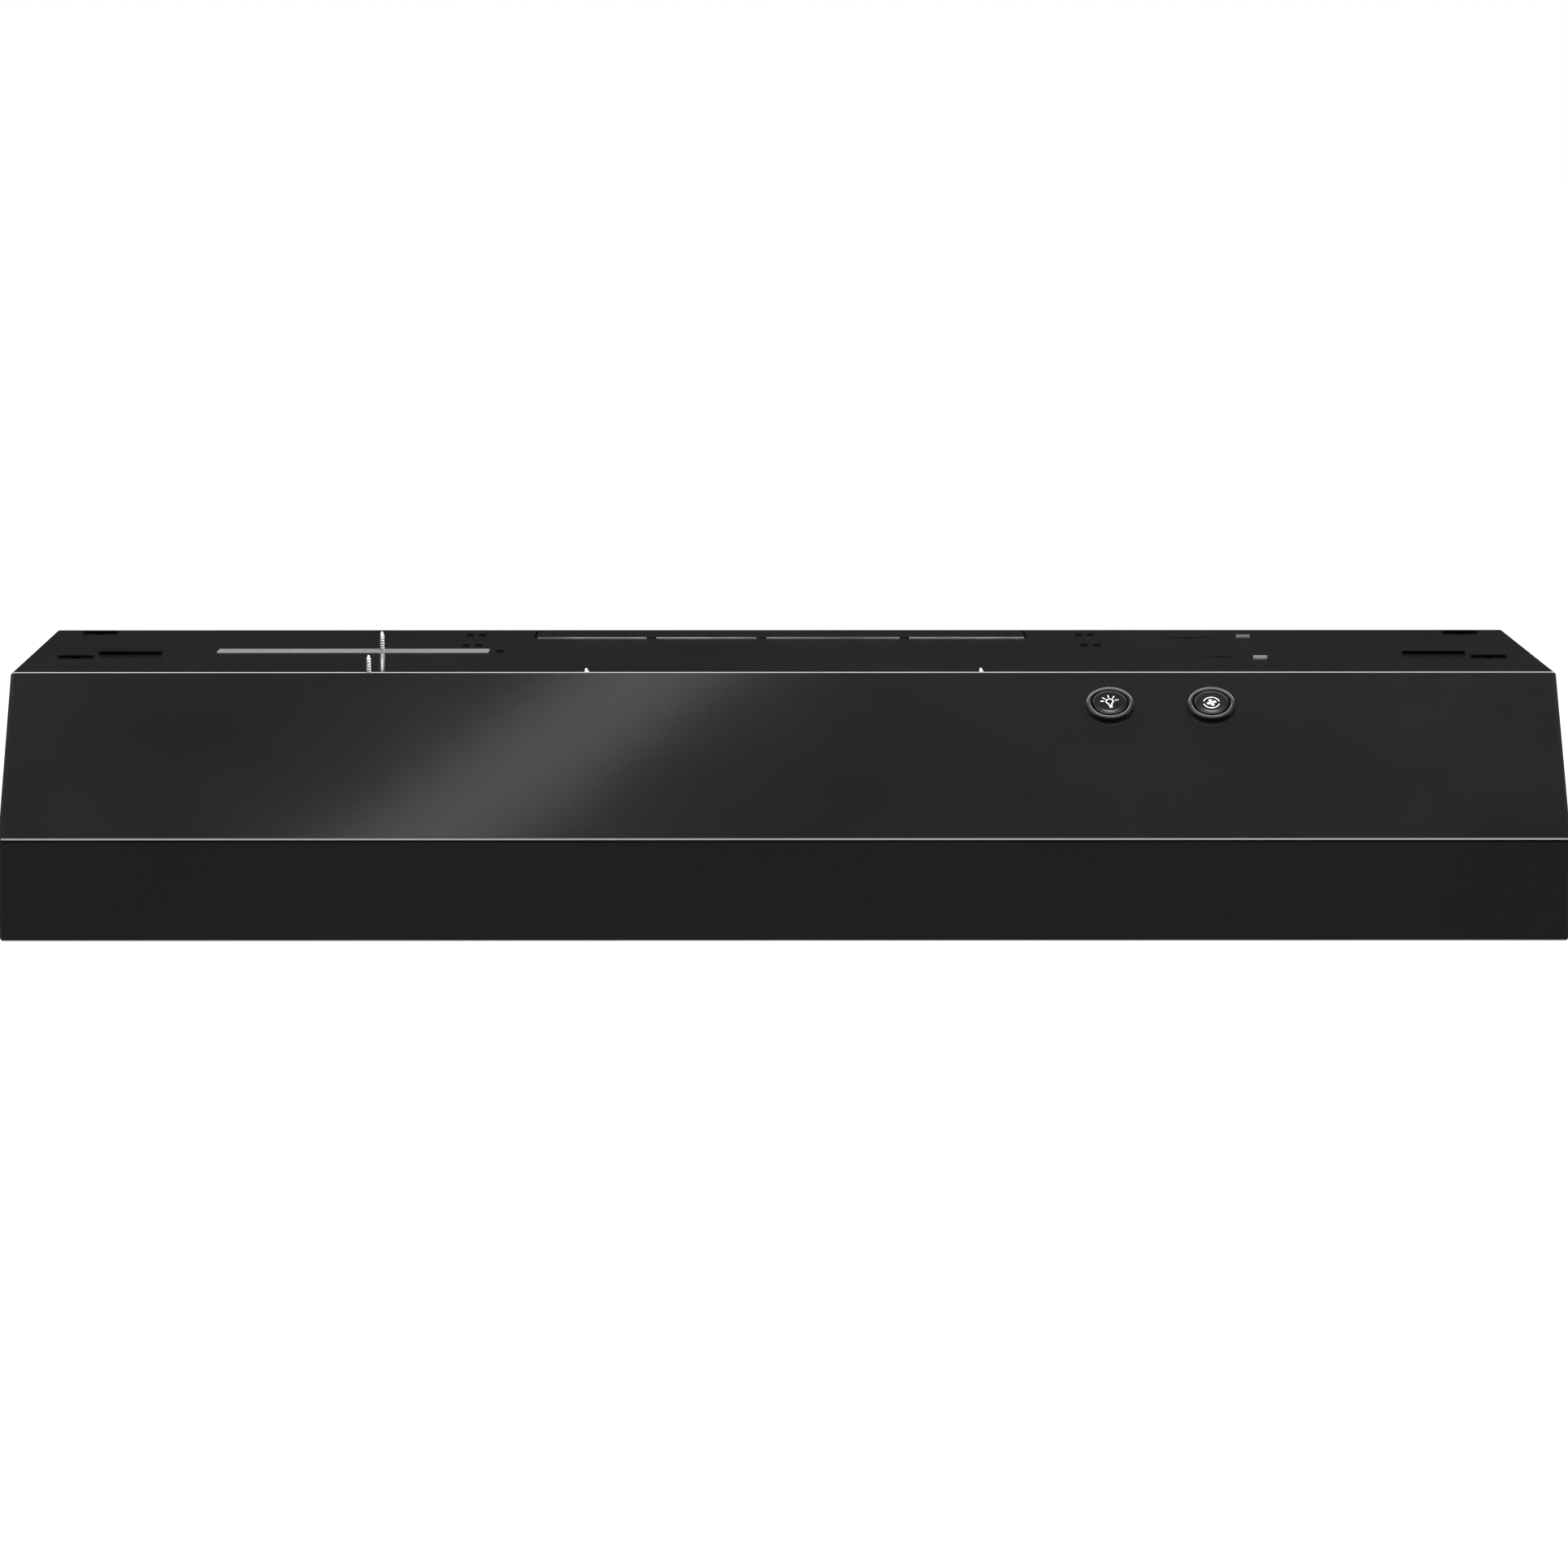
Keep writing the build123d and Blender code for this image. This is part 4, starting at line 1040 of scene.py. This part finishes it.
def diamond_sheet(bm, low, high, cell, strand):
    """Expanded metal between two corners: diamonds whose edges become square strands."""
    across = max(2, round((high.x - low.x) / cell * 2))
    along = max(2, round((high.y - low.y) / (cell * 0.6) * 2))
    step_x, step_y = (high.x - low.x) / across, (high.y - low.y) / along
    middle = (low.z + high.z) / 2
    grid = {}

    def corner(i, j):
        if (i, j) not in grid:
            grid[i, j] = bm.verts.new((low.x + i * step_x, low.y + j * step_y, middle))
        return grid[i, j]

    faces = []
    for i in range(1, across):
        for j in range(1, along):
            if (i + j) % 2:
                ends = (corner(i - 1, j), corner(i, j - 1), corner(i + 1, j), corner(i, j + 1))
                faces.append(bm.faces.new(ends))
    bmesh.ops.wireframe(
        bm,
        faces=faces,
        thickness=strand,
        use_replace=True,
        use_boundary=True,
        use_even_offset=True,
    )


class HOOD_OT_filter_mesh(bpy.types.Operator):
    """Two layers of expanded aluminium in each filter"""

    bl_idname = "hood.filter_mesh"
    bl_label = "Filter mesh"

    def execute(self, context):
        settings = context.scene.hood_filters
        for side in ("left", "right"):
            node = f"{side}_filter_mesh"
            bm = bmesh.new()
            for low, high in solids_of(node):
                diamond_sheet(bm, low, high, settings.cell, settings.strand)
            piece(f"{node}_layers", bm, f"{side}_filter", "filter_mesh", [node], 20, recalc=False)
        return {"FINISHED"}


def mitred_rail(bm, start, end, inward, profile, gap):
    """Channel from corner to corner, cut at 45 degrees at both ends."""
    along = (end - start).normalized()
    rings = []
    for corner, sign in ((start, 1), (end, -1)):
        ring = []
        for depth, height in profile:
            point = corner + along * sign * (depth + gap) + inward * depth
            ring.append(bm.verts.new((point.x, point.y, height)))
        rings.append(ring)
    first, last = rings
    count = len(profile)
    for i in range(count):
        j = (i + 1) % count
        bm.faces.new((first[i], first[j], last[j], last[i]))
    bm.faces.new(list(reversed(first)))
    bm.faces.new(last)


class HOOD_OT_filter_frames(bpy.types.Operator):
    """Mitred channel frames with pivot pins, and stakes inside their corners"""

    bl_idname = "hood.filter_frames"
    bl_label = "Filter frames"

    def execute(self, context):
        rail = context.scene.hood_filters.rail
        for side in ("left", "right"):
            node = f"{side}_filter_frame"
            low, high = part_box(node)
            sign = 1 if high.x > -low.x else -1
            # The pivot pins stand 5 mm out of the inner corner and 5.5 mm out of the outer one.
            near, far = (5.0 * MM, 5.5 * MM) if sign > 0 else (5.5 * MM, 5.0 * MM)
            x0, x1 = low.x + near, high.x - far
            y0, y1, z0, z1 = low.y, high.y, low.z, high.z
            bend, sheet, bite = 1.0 * MM, 0.9 * MM, 2 * MM
            stake_places = ((6 * MM, 16 * MM), (16 * MM, 6 * MM))
            profile = [
                (rail, z0),
                *[(bend - bend * sin(a), z0 + bend - bend * cos(a)) for a in quarter(4)],
                *[(bend - bend * cos(a), z1 - bend + bend * sin(a)) for a in quarter(4)],
                (rail, z1),
                (rail, z1 - sheet),
                (sheet, z1 - sheet),
                (sheet, z0 + sheet),
                (rail, z0 + sheet),
            ]
            corners = [Vector((x, y, 0)) for x, y in ((x0, y0), (x1, y0), (x1, y1), (x0, y1))]
            bm = bmesh.new()
            for i, start in enumerate(corners):
                end = corners[(i + 1) % 4]
                along = (end - start).normalized()
                inward = Vector((-along.y, along.x, 0))
                mitred_rail(bm, start, end, inward, profile, 0.08 * MM)
            for corner, (sx, sy) in zip(corners, ((1, 1), (-1, 1), (-1, -1), (1, -1))):
                for dx, dy in stake_places:
                    self.stake(bm, (corner.x + sx * dx, corner.y + sy * dy, z0 + 0.46 * MM))
            self.pin(bm, low.x, x0 + bite)
            self.pin(bm, x1 - bite, high.x)
            piece(f"{node}_mitred", bm, f"{side}_filter", "filter_frame", [node])
        return {"FINISHED"}

    def stake(self, bm, point):
        """Round head of a corner's stake, within the thickness of the rail's lower flange."""
        radius, rim = 1.7 * MM, 0.3 * MM
        one = bmesh.new()
        outline = [(0, -0.45 * MM), (0.9 * MM, -0.38 * MM), (radius, 0), (radius, rim), (0, rim)]
        lathe(one, outline, 20)
        move(one, Matrix.Translation(point))
        absorb(bm, one)

    def pin(self, bm, start, end):
        """Pivot pin on the filters' axis between two places along X."""
        radius, tip, length = 2 * MM, 0.5 * MM, end - start
        one = bmesh.new()
        outline = [
            (0, 0),
            (radius - tip, 0),
            (radius, tip),
            (radius, length - tip),
            (radius - tip, length),
            (0, length),
        ]
        lathe(one, outline, 28)
        move(one, frame_at((start, PIVOT_Y, PIVOT_Z), (1, 0, 0), (0, 1, 0)))
        absorb(bm, one)


class HOOD_OT_pull_rings(bpy.types.Operator):
    """Round wire D rings under the filters"""

    bl_idname = "hood.pull_rings"
    bl_label = "Pull rings"

    def execute(self, context):
        for side in ("left", "right"):
            node = f"{side}_pull_ring"
            low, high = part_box(node)
            radius = (high.y - low.y) / 2
            middle = (low + high) / 2
            half, top, bottom = (high.x - low.x) / 2 - radius, high.z - radius, low.z + radius
            tight, wide = 1.2 * MM, 3.4 * MM
            bends = (
                (half, top, 0, tight),
                (-half, top, 90, tight),
                (-half, bottom, 180, wide),
                (half, bottom, 270, wide),
            )
            points, normals = [], []
            for x, z, start, bend in bends:
                centre_x = x - bend if x > 0 else x + bend
                centre_z = z - bend if z == top else z + bend
                centre = Vector((middle.x + centre_x, middle.y, centre_z))
                for i in range(7):
                    a = radians(start + 15 * i)
                    normals.append(Vector((cos(a), 0, sin(a))))
                    points.append(centre + normals[-1] * bend)
            bm = bmesh.new()
            wire(bm, points, normals, (0, 1, 0), radius, 14)
            piece(f"{node}_wire", bm, f"{side}_pull", "zinc_screws", [node], 60)
        return {"FINISHED"}


# Lamp


class HOOD_OT_lamp(bpy.types.Operator):
    """Ceramic socket, threaded cap and frosted bulb"""

    bl_idname = "hood.lamp"
    bl_label = "Lamp"

    def execute(self, context):
        low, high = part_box("lamp_socket")
        length, outer = high.x - low.x, (high.y - low.y) / 2
        bore, floor = 13.4 * MM, 8.2 * MM
        bm = bmesh.new()
        lathe(
            bm,
            [
                (0, 0),
                (outer - 0.6 * MM, 0),
                (outer, 0.6 * MM),
                (outer, 0.32 * length),
                *[
                    (outer - 1.6 * MM * sin(a) ** 2, length * (0.32 + 0.12 * i / 8))
                    for i, a in enumerate([pi * k / 8 for k in range(9)])
                ],
                (outer, length - 2.0 * MM),
                (outer - 0.6 * MM, length - 0.6 * MM),
                (outer - 2.0 * MM, length),
                (bore + 0.8 * MM, length),
                (bore, length - 0.8 * MM),
                (bore, floor),
                (0, floor),
            ],
            64,
        )
        move(bm, level_axis(low, high))
        piece("lamp_socket_glazed", bm, "canopy", "socket_ceramic", ["lamp_socket"])
        self.cap()
        self.bulb()
        return {"FINISHED"}

    def cap(self):
        """Rolled thread, the insulator's step and a solder point, all in the cap's brass."""
        low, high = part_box("bulb_base")
        length, crest = high.x - low.x, (high.y - low.y) / 2
        root = crest - 0.9 * MM
        pitch, start = 3.63 * MM, 6.5 * MM
        bm = bmesh.new()
        lathe(
            bm,
            [
                (0, 0),
                (2.4 * MM, 0.1 * MM),
                (3.0 * MM, 1.0 * MM),
                (3.6 * MM, 1.4 * MM),
                (root - 2.2 * MM, 4.4 * MM),
                (root, 6.0 * MM),
                (root, length - 0.05 * MM),
                (0, length - 0.05 * MM),
            ],
            64,
        )
        thread = [
            (root - 0.3 * MM, start),
            (root + 0.45 * MM, start + 0.5 * MM),
            (crest - 0.02 * MM, start + 1.3 * MM),
            (root + 0.45 * MM, start + 2.1 * MM),
            (root - 0.3 * MM, start + 2.6 * MM),
        ]
        turns = (length - start - 3.2 * MM) / pitch
        coil(bm, thread, pitch, turns, 40)
        move(bm, level_axis(low, high))
        piece("bulb_cap_threaded", bm, "canopy", "bulb_cap", ["bulb_base"], 40)

    def bulb(self):
        """Pear-shaped envelope."""
        low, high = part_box("bulb_glass")
        radius = (high.y - low.y) / 2
        neck, belly = 12.5 * MM, (high.x - low.x) - radius
        shoulder = 9.0 * MM
        outline = [(0, 0), (neck - 0.4 * MM, 0), (neck, 0.4 * MM), (neck, shoulder)]
        for i in range(1, 17):
            t = i / 16
            swell = t * t * (3 - 2 * t)
            outline.append((neck + (radius - neck) * swell, shoulder + (belly - shoulder) * t))
        outline += arc((0, belly), radius, 0, 90, 18)[1:]
        outline[-1] = (0, belly + radius)
        bm = bmesh.new()
        lathe(bm, outline, 72)
        move(bm, level_axis(low, high))
        piece("bulb_envelope", bm, "canopy", "bulb_glass", ["bulb_glass"], 50)


# Fan and motor


class FanSettings(bpy.types.PropertyGroup):
    """Impeller and motor."""

    pitch: FloatProperty(
        name="Blade pitch",
        description="Angle of the blades at the middle of their length",
        default=radians(28),
        subtype="ANGLE",
    )
    twist: FloatProperty(
        name="Blade twist",
        description="Extra pitch at the root, taken off again at the tip",
        default=radians(5),
        subtype="ANGLE",
    )
    camber: FloatProperty(
        name="Camber",
        description="Height of the blades' curve over their chord",
        default=2.4 * MM,
        min=0,
        unit="LENGTH",
    )
    blades: IntProperty(name="Blades", description="Number of blades", default=5, min=2, max=12)


def fan_blade(bm, root, tip, settings):
    """One cambered, twisted blade along +X, with rounded corners at its tip."""
    spans, chords = 14, 12
    rows = []
    for i in range(spans + 1):
        t = i / spans
        radius = root + (tip - root) * t
        pitch = settings.pitch + settings.twist * (1 - 2 * t)
        end = max(0.0, (t - 0.82) / 0.18)
        half = (17 + 5 * t) * MM * (1 - 0.35 * end**3)
        row = []
        for j in range(chords + 1):
            u = 2 * j / chords - 1
            chord, lift = half * u, settings.camber * (1 - u * u)
            y = chord * cos(pitch) - lift * sin(pitch)
            z = chord * sin(pitch) + lift * cos(pitch) - settings.camber * 0.5
            row.append(bm.verts.new(((radius * radius - y * y) ** 0.5, y, z)))
        rows.append(row)
    faces = []
    for here, there in zip(rows, rows[1:]):
        for j in range(chords):
            faces.append(bm.faces.new((here[j], here[j + 1], there[j + 1], there[j])))
    bmesh.ops.recalc_face_normals(bm, faces=faces)
    bmesh.ops.solidify(bm, geom=faces, thickness=1.3 * MM)


class HOOD_OT_fan(bpy.types.Operator):
    """Twisted blades on a pressed hub"""

    bl_idname = "hood.fan"
    bl_label = "Impeller"

    def execute(self, context):
        settings = context.scene.hood_fan
        low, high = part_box("fan_impeller")
        middle = Vector((0, FAN_Y, (low.z + high.z) / 2))
        half = (high.z - low.z) / 2
        root, tip = 19.5 * MM, 88.6 * MM
        bm = bmesh.new()
        for turn in range(settings.blades):
            blade = bmesh.new()
            fan_blade(blade, root, tip, settings)
            move(blade, Matrix.Rotation(TAU * turn / settings.blades, 4, "Z"))
            absorb(bm, blade)
        bore, outer = 4.04 * MM, 21 * MM
        lathe(
            bm,
            [
                (bore, -half + 1.0 * MM),
                (7.0 * MM, -half + 1.0 * MM),
                (7.6 * MM, -half + 4.0 * MM),
                (15.5 * MM, -half + 4.0 * MM),
                (17.5 * MM, -half + 0.6 * MM),
                *arc((outer - 1.4 * MM, -half + 1.4 * MM), 1.4 * MM, -90, 0, 6),
                *arc((outer - 0.8 * MM, half - 0.8 * MM), 0.8 * MM, 0, 90, 4),
                (bore, half),
            ],
            72,
            closed=True,
        )
        move(bm, Matrix.Translation(middle))
        piece("fan_wheel", bm, "fan", "fan_blade", ["fan_impeller"], 40)
        return {"FINISHED"}


class HOOD_OT_windings(bpy.types.Operator):
    """Rounded coil ends made of many turns of wire"""

    bl_idname = "hood.windings"
    bl_label = "Windings"

    def execute(self, context):
        bm = bmesh.new()
        strand = 0.55 * MM
        for low, high in solids_of("motor_windings"):
            inner, outer = 25.6 * MM, (high.x - low.x) / 2
            rows = round((outer - inner) / (1.9 * strand))
            levels = round((high.z - low.z) / (1.9 * strand))
            for i in range(rows):
                for j in range(levels):
                    edge = i in (0, rows - 1) or j in (0, levels - 1)
                    corner = i in (0, rows - 1) and j in (0, levels - 1)
                    if not edge or corner:
                        continue
                    radius = inner + (i + 0.5) * (outer - inner) / rows
                    height = low.z + (j + 0.5) * (high.z - low.z) / levels
                    turn = [(radius + x, height + z) for x, z in polygon(6, strand)]
                    lathe(bm, turn, 40, closed=True)
        move(bm, Matrix.Translation((0, FAN_Y, 0)))
        piece("motor_coil_ends", bm, "canopy", "copper_wire", ["motor_windings"], 60)
        return {"FINISHED"}


class HOOD_OT_capacitor(bpy.types.Operator):
    """Capacitor can with a rolled rim and two blade terminals"""

    bl_idname = "hood.capacitor"
    bl_label = "Capacitor"

    def execute(self, context):
        low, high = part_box("run_capacitor")
        top = high.z - 5.0 * MM
        middle = (low + high) / 2
        corner = 4.0 * MM

        def outline(inset):
            x0, x1, y0, y1 = low.x + inset, high.x - inset, low.y + inset, high.y - inset
            return rounded_rectangle(x0, y0, x1, y1, corner - inset, 8)

        bm = bmesh.new()
        prism(bm, outline(0.4 * MM), top - low.z - 1.0 * MM, low.z, 3, 0.8 * MM)
        prism(bm, outline(0.0), 1.6 * MM, top - 2.2 * MM, 2, 0.5 * MM)
        apart, half_blade, half_thick = 8 * MM, 3 * MM, 0.4 * MM
        wide, tall = 4.2 * MM, 1.7 * MM
        for x in (middle.x - apart, middle.x + apart):
            foot = (x - half_blade, middle.y - half_thick, top - 1.5 * MM)
            tip = (x + half_blade, middle.y + half_thick, high.z)
            cuboid(bm, foot, tip, 0.15 * MM)
            collar = bmesh.new()
            crown = [(wide, tall - 0.5 * MM), (wide - 0.6 * MM, tall), (0, tall)]
            lathe(collar, [(0, 0), (wide, 0), *crown], 28)
            move(collar, Matrix.Translation((x, middle.y, top - 0.8 * MM)))
            absorb(bm, collar)
        piece("capacitor_can", bm, "canopy", "capacitor_case", ["run_capacitor"])
        return {"FINISHED"}


# Finishes of the CAD nodes


class HoodSettings(bpy.types.PropertyGroup):
    """Colour and gloss of the hood's enamel."""

    enamel: FloatVectorProperty(
        name="Enamel",
        description="Colour of the baked enamel",
        default=(0.0032, 0.0032, 0.0033),
        subtype="COLOR",
        min=0,
        max=1,
    )
    enamel_rough: FloatProperty(
        name="Enamel roughness",
        description="Roughness of the clean enamel",
        default=0.1,
        min=0,
        max=1,
        subtype="FACTOR",
    )


class StageSettings(bpy.types.PropertyGroup):
    """Camera, floor and lights."""

    lens: FloatProperty(
        name="Lens",
        description="Focal length on a 36 mm sensor",
        default=237.6,
        min=10,
    )
    streak_width: FloatProperty(
        name="Streak width",
        description="Half width of the soft light panel over the slope",
        default=0.118,
        min=0.01,
        unit="LENGTH",
    )
    streak_angle: FloatProperty(
        name="Streak angle",
        description="Turn of the soft light panel from the hood's length",
        default=radians(37.7),
        subtype="ANGLE",
    )
    streak_place: FloatVectorProperty(
        name="Streak place",
        description="Middle of the soft light panel",
        default=(-0.137, -0.291, 0.56),
        subtype="TRANSLATION",
    )
    streak_glow: FloatProperty(
        name="Streak glow",
        description="Brightness of the soft light panel at its middle",
        default=1.25,
        min=0,
    )


def black_enamel(settings):
    """Glossy black baked enamel."""
    colour = tuple(settings.enamel)
    lighter = tuple(1.25 * value for value in colour)
    rough = settings.enamel_rough
    return finish_of(
        "black_enamel", "enamel_skin", 620.0, (colour, lighter), (rough, rough + 0.03), 0.01
    )


class HOOD_OT_finishes(bpy.types.Operator):
    """Give every CAD node the material of its slot"""

    bl_idname = "hood.finishes"
    bl_label = "Finishes"

    def execute(self, context):
        settings = context.scene.hood
        for row in frame["record"]["subparts"]:
            slot = row["material_slot"]
            material = black_enamel(settings) if slot == "black_enamel" else plain_finish(slot)
            dress(row["node"], material)
        return {"FINISHED"}


# Stage


def area_light(name, place, aim, size, power):
    """Soft rectangular light that the camera doesn't see."""
    data = bpy.data.lights.new(name, "AREA")
    data.shape = "RECTANGLE"
    data.size, data.size_y = size
    data.energy = power
    light = bpy.data.objects.new(name, data)
    light.location = place
    light.rotation_euler = (Vector(aim) - Vector(place)).to_track_quat("-Z", "Y").to_euler()
    light.visible_camera = False
    bpy.context.scene.collection.objects.link(light)


def level_sheet(name, half, segments, height=0.0):
    """Level square sheet in the scene, half being the distance from its middle to a side."""
    bm = bmesh.new()
    bmesh.ops.create_grid(bm, x_segments=segments, y_segments=segments, size=half)
    bmesh.ops.translate(bm, verts=bm.verts, vec=(0, 0, height))
    mesh = bpy.data.meshes.new(name)
    bm.to_mesh(mesh)
    bm.free()
    sheet = bpy.data.objects.new(name, mesh)
    bpy.context.scene.collection.objects.link(sheet)
    return sheet


def stage_streak(settings):
    """Soft-edged light panel over the slope, whose reflection is the slanting sheen."""
    panel = level_sheet("streak_panel", 1.0, 1)
    panel.scale = (0.9, settings.streak_width, 1)
    panel.rotation_euler = (pi, 0, settings.streak_angle)
    panel.location = settings.streak_place
    panel.visible_camera = False
    panel.visible_diffuse = False
    panel.visible_shadow = False
    material = bpy.data.materials.new("streak_light")
    material.use_nodes = True
    tree = material.node_tree
    tree.nodes.clear()
    coordinates = tree.nodes.new("ShaderNodeTexCoord")
    split = tree.nodes.new("ShaderNodeSeparateXYZ")
    tree.links.new(coordinates.outputs["Object"], split.inputs["Vector"])
    across = combine(tree, "ABSOLUTE", split.outputs["Y"], 0.0)
    core = spread(tree, across, 0.0, 0.45, 0.84, 0.0, eased=True)
    skirt = spread(tree, across, 0.0, 1.0, 0.12, 0.0, eased=True)
    total = combine(tree, "ADD", core, skirt)
    glow = tree.nodes.new("ShaderNodeEmission")
    tree.links.new(combine(tree, "MULTIPLY", total, settings.streak_glow), glow.inputs["Strength"])
    clear = tree.nodes.new("ShaderNodeBsdfTransparent")
    both = tree.nodes.new("ShaderNodeAddShader")
    tree.links.new(glow.outputs["Emission"], both.inputs[0])
    tree.links.new(clear.outputs["BSDF"], both.inputs[1])
    out = tree.nodes.new("ShaderNodeOutputMaterial")
    tree.links.new(both.outputs["Shader"], out.inputs["Surface"])
    panel.data.materials.append(material)


def stage_world():
    """White behind the hood for the camera, and a dark studio for light and reflections."""
    world = bpy.data.worlds.new("studio")
    world.use_nodes = True
    tree = world.node_tree
    tree.nodes.clear()
    seen = tree.nodes.new("ShaderNodeBackground")
    seen.inputs["Color"].default_value = (1, 1, 1, 1)
    room = tree.nodes.new("ShaderNodeBackground")
    room.inputs["Color"].default_value = (1, 1, 1, 1)
    coordinates = tree.nodes.new("ShaderNodeTexCoord")
    split = tree.nodes.new("ShaderNodeSeparateXYZ")
    tree.links.new(coordinates.outputs["Generated"], split.inputs["Vector"])
    above = spread(tree, split.outputs["Z"], 0.6, 1.0, 0.0215, 0.175)
    below = spread(tree, split.outputs["Z"], -0.45, -0.3, 0.27, 0.0)
    aside = combine(tree, "ABSOLUTE", split.outputs["X"], 0.0)
    sides = spread(tree, aside, 0.3, 0.65, 0.0, 0.2)
    total = combine(tree, "ADD", combine(tree, "ADD", above, below), sides)
    tree.links.new(total, room.inputs["Strength"])
    path = tree.nodes.new("ShaderNodeLightPath")
    mix = tree.nodes.new("ShaderNodeMixShader")
    out = tree.nodes.new("ShaderNodeOutputWorld")
    tree.links.new(path.outputs["Is Camera Ray"], mix.inputs["Fac"])
    tree.links.new(room.outputs["Background"], mix.inputs[1])
    tree.links.new(seen.outputs["Background"], mix.inputs[2])
    tree.links.new(mix.outputs["Shader"], out.inputs["Surface"])
    bpy.context.scene.world = world


def stage_floor():
    """White floor below the open filters and lens. It is clear from underneath."""
    drop = 0.65
    floor = level_sheet("floor", 60.0, 8, CAD_LOW.z - drop)
    material = bpy.data.materials.new("floor_paint")
    material.use_nodes = True
    tree = material.node_tree
    shader = tree.nodes["Principled BSDF"]
    shader.inputs["Base Color"].default_value = (0.8, 0.8, 0.8, 1)
    shader.inputs["Roughness"].default_value = 0.9
    shader.inputs["Emission Color"].default_value = (1, 1, 1, 1)
    shader.inputs["Emission Strength"].default_value = 1.1
    clear = tree.nodes.new("ShaderNodeBsdfTransparent")
    side = tree.nodes.new("ShaderNodeNewGeometry")
    mix = tree.nodes.new("ShaderNodeMixShader")
    tree.links.new(side.outputs["Backfacing"], mix.inputs["Fac"])
    tree.links.new(shader.outputs["BSDF"], mix.inputs[1])
    tree.links.new(clear.outputs["BSDF"], mix.inputs[2])
    tree.links.new(mix.outputs["Shader"], tree.nodes["Material Output"].inputs["Surface"])
    floor.data.materials.append(material)
    floor.visible_diffuse = False
    floor.visible_glossy = False
    floor.visible_shadow = False


class HOOD_OT_stage(bpy.types.Operator):
    """Floor, world, lights and camera"""

    bl_idname = "hood.stage"
    bl_label = "Stage"

    def execute(self, context):
        settings = context.scene.hood_stage
        stage_world()
        stage_floor()
        middle = (CAD_LOW + CAD_HIGH) / 2
        area_light("front_key", (0, -1.75, 2.25), middle, (3.6, 2.4), 235)
        area_light("back_key", (0, 1.45, 2.15), middle, (3.6, 2.0), 150)
        stage_streak(settings)
        area_light("left_fill", (-2.4, -0.8, 0.9), middle, (1.0, 1.4), 9)
        area_light("right_fill", (2.4, -0.8, 0.9), middle, (1.0, 1.4), 9)
        area_light("under_fill", (0, 0.5, -2.2), middle, (2.2, 1.2), 28)
        camera = bpy.data.objects.new("camera", bpy.data.cameras.new("camera"))
        camera.data.lens = settings.lens
        camera.data.clip_end = 200
        look_down, look_right = radians(4.242), radians(0.307)
        camera.location = (-0.027, -5.420, 0.321)
        camera.rotation_euler = (pi / 2 - look_down, 0, -look_right)
        context.scene.collection.objects.link(camera)
        context.scene.camera = camera
        context.scene.view_settings.view_transform = "Standard"
        return {"FINISHED"}


class HOOD_PT_panel(bpy.types.Panel):
    """Buttons for the hood's pieces"""

    bl_idname = "HOOD_PT_panel"
    bl_label = "Range Hood"
    bl_space_type = "VIEW_3D"
    bl_region_type = "UI"
    bl_category = "Range Hood"

    def draw(self, context):
        for operator in OPERATORS:
            self.layout.operator(operator.bl_idname)


SETTINGS = {
    "hood": HoodSettings,
    "hood_fasteners": FastenerSettings,
    "hood_buttons": ButtonSettings,
    "hood_label": LabelSettings,
    "hood_filters": FilterSettings,
    "hood_fan": FanSettings,
    "hood_stage": StageSettings,
}
OPERATORS = (
    HOOD_OT_finishes,
    HOOD_OT_top_screws,
    HOOD_OT_rivets,
    HOOD_OT_small_screws,
    HOOD_OT_buttons,
    HOOD_OT_label,
    HOOD_OT_edge_highlight,
    HOOD_OT_filter_mesh,
    HOOD_OT_filter_frames,
    HOOD_OT_pull_rings,
    HOOD_OT_lamp,
    HOOD_OT_fan,
    HOOD_OT_windings,
    HOOD_OT_capacitor,
    HOOD_OT_stage,
)
CLASSES = (*SETTINGS.values(), *OPERATORS, HOOD_PT_panel)


def register():
    """Add the settings, the operators and the panel."""
    for cls in CLASSES:
        bpy.utils.register_class(cls)
    for name, group in SETTINGS.items():
        setattr(bpy.types.Scene, name, PointerProperty(type=group))


def unregister():
    """Take the settings, the operators and the panel away again."""
    for name in SETTINGS:
        delattr(bpy.types.Scene, name)
    for cls in reversed(CLASSES):
        bpy.utils.unregister_class(cls)


def main():
    """Make every piece and the stage."""
    register()
    for operator in OPERATORS:
        family, name = operator.bl_idname.split(".")
        getattr(getattr(bpy.ops, family), name)()


if __name__ == "__main__":
    main()
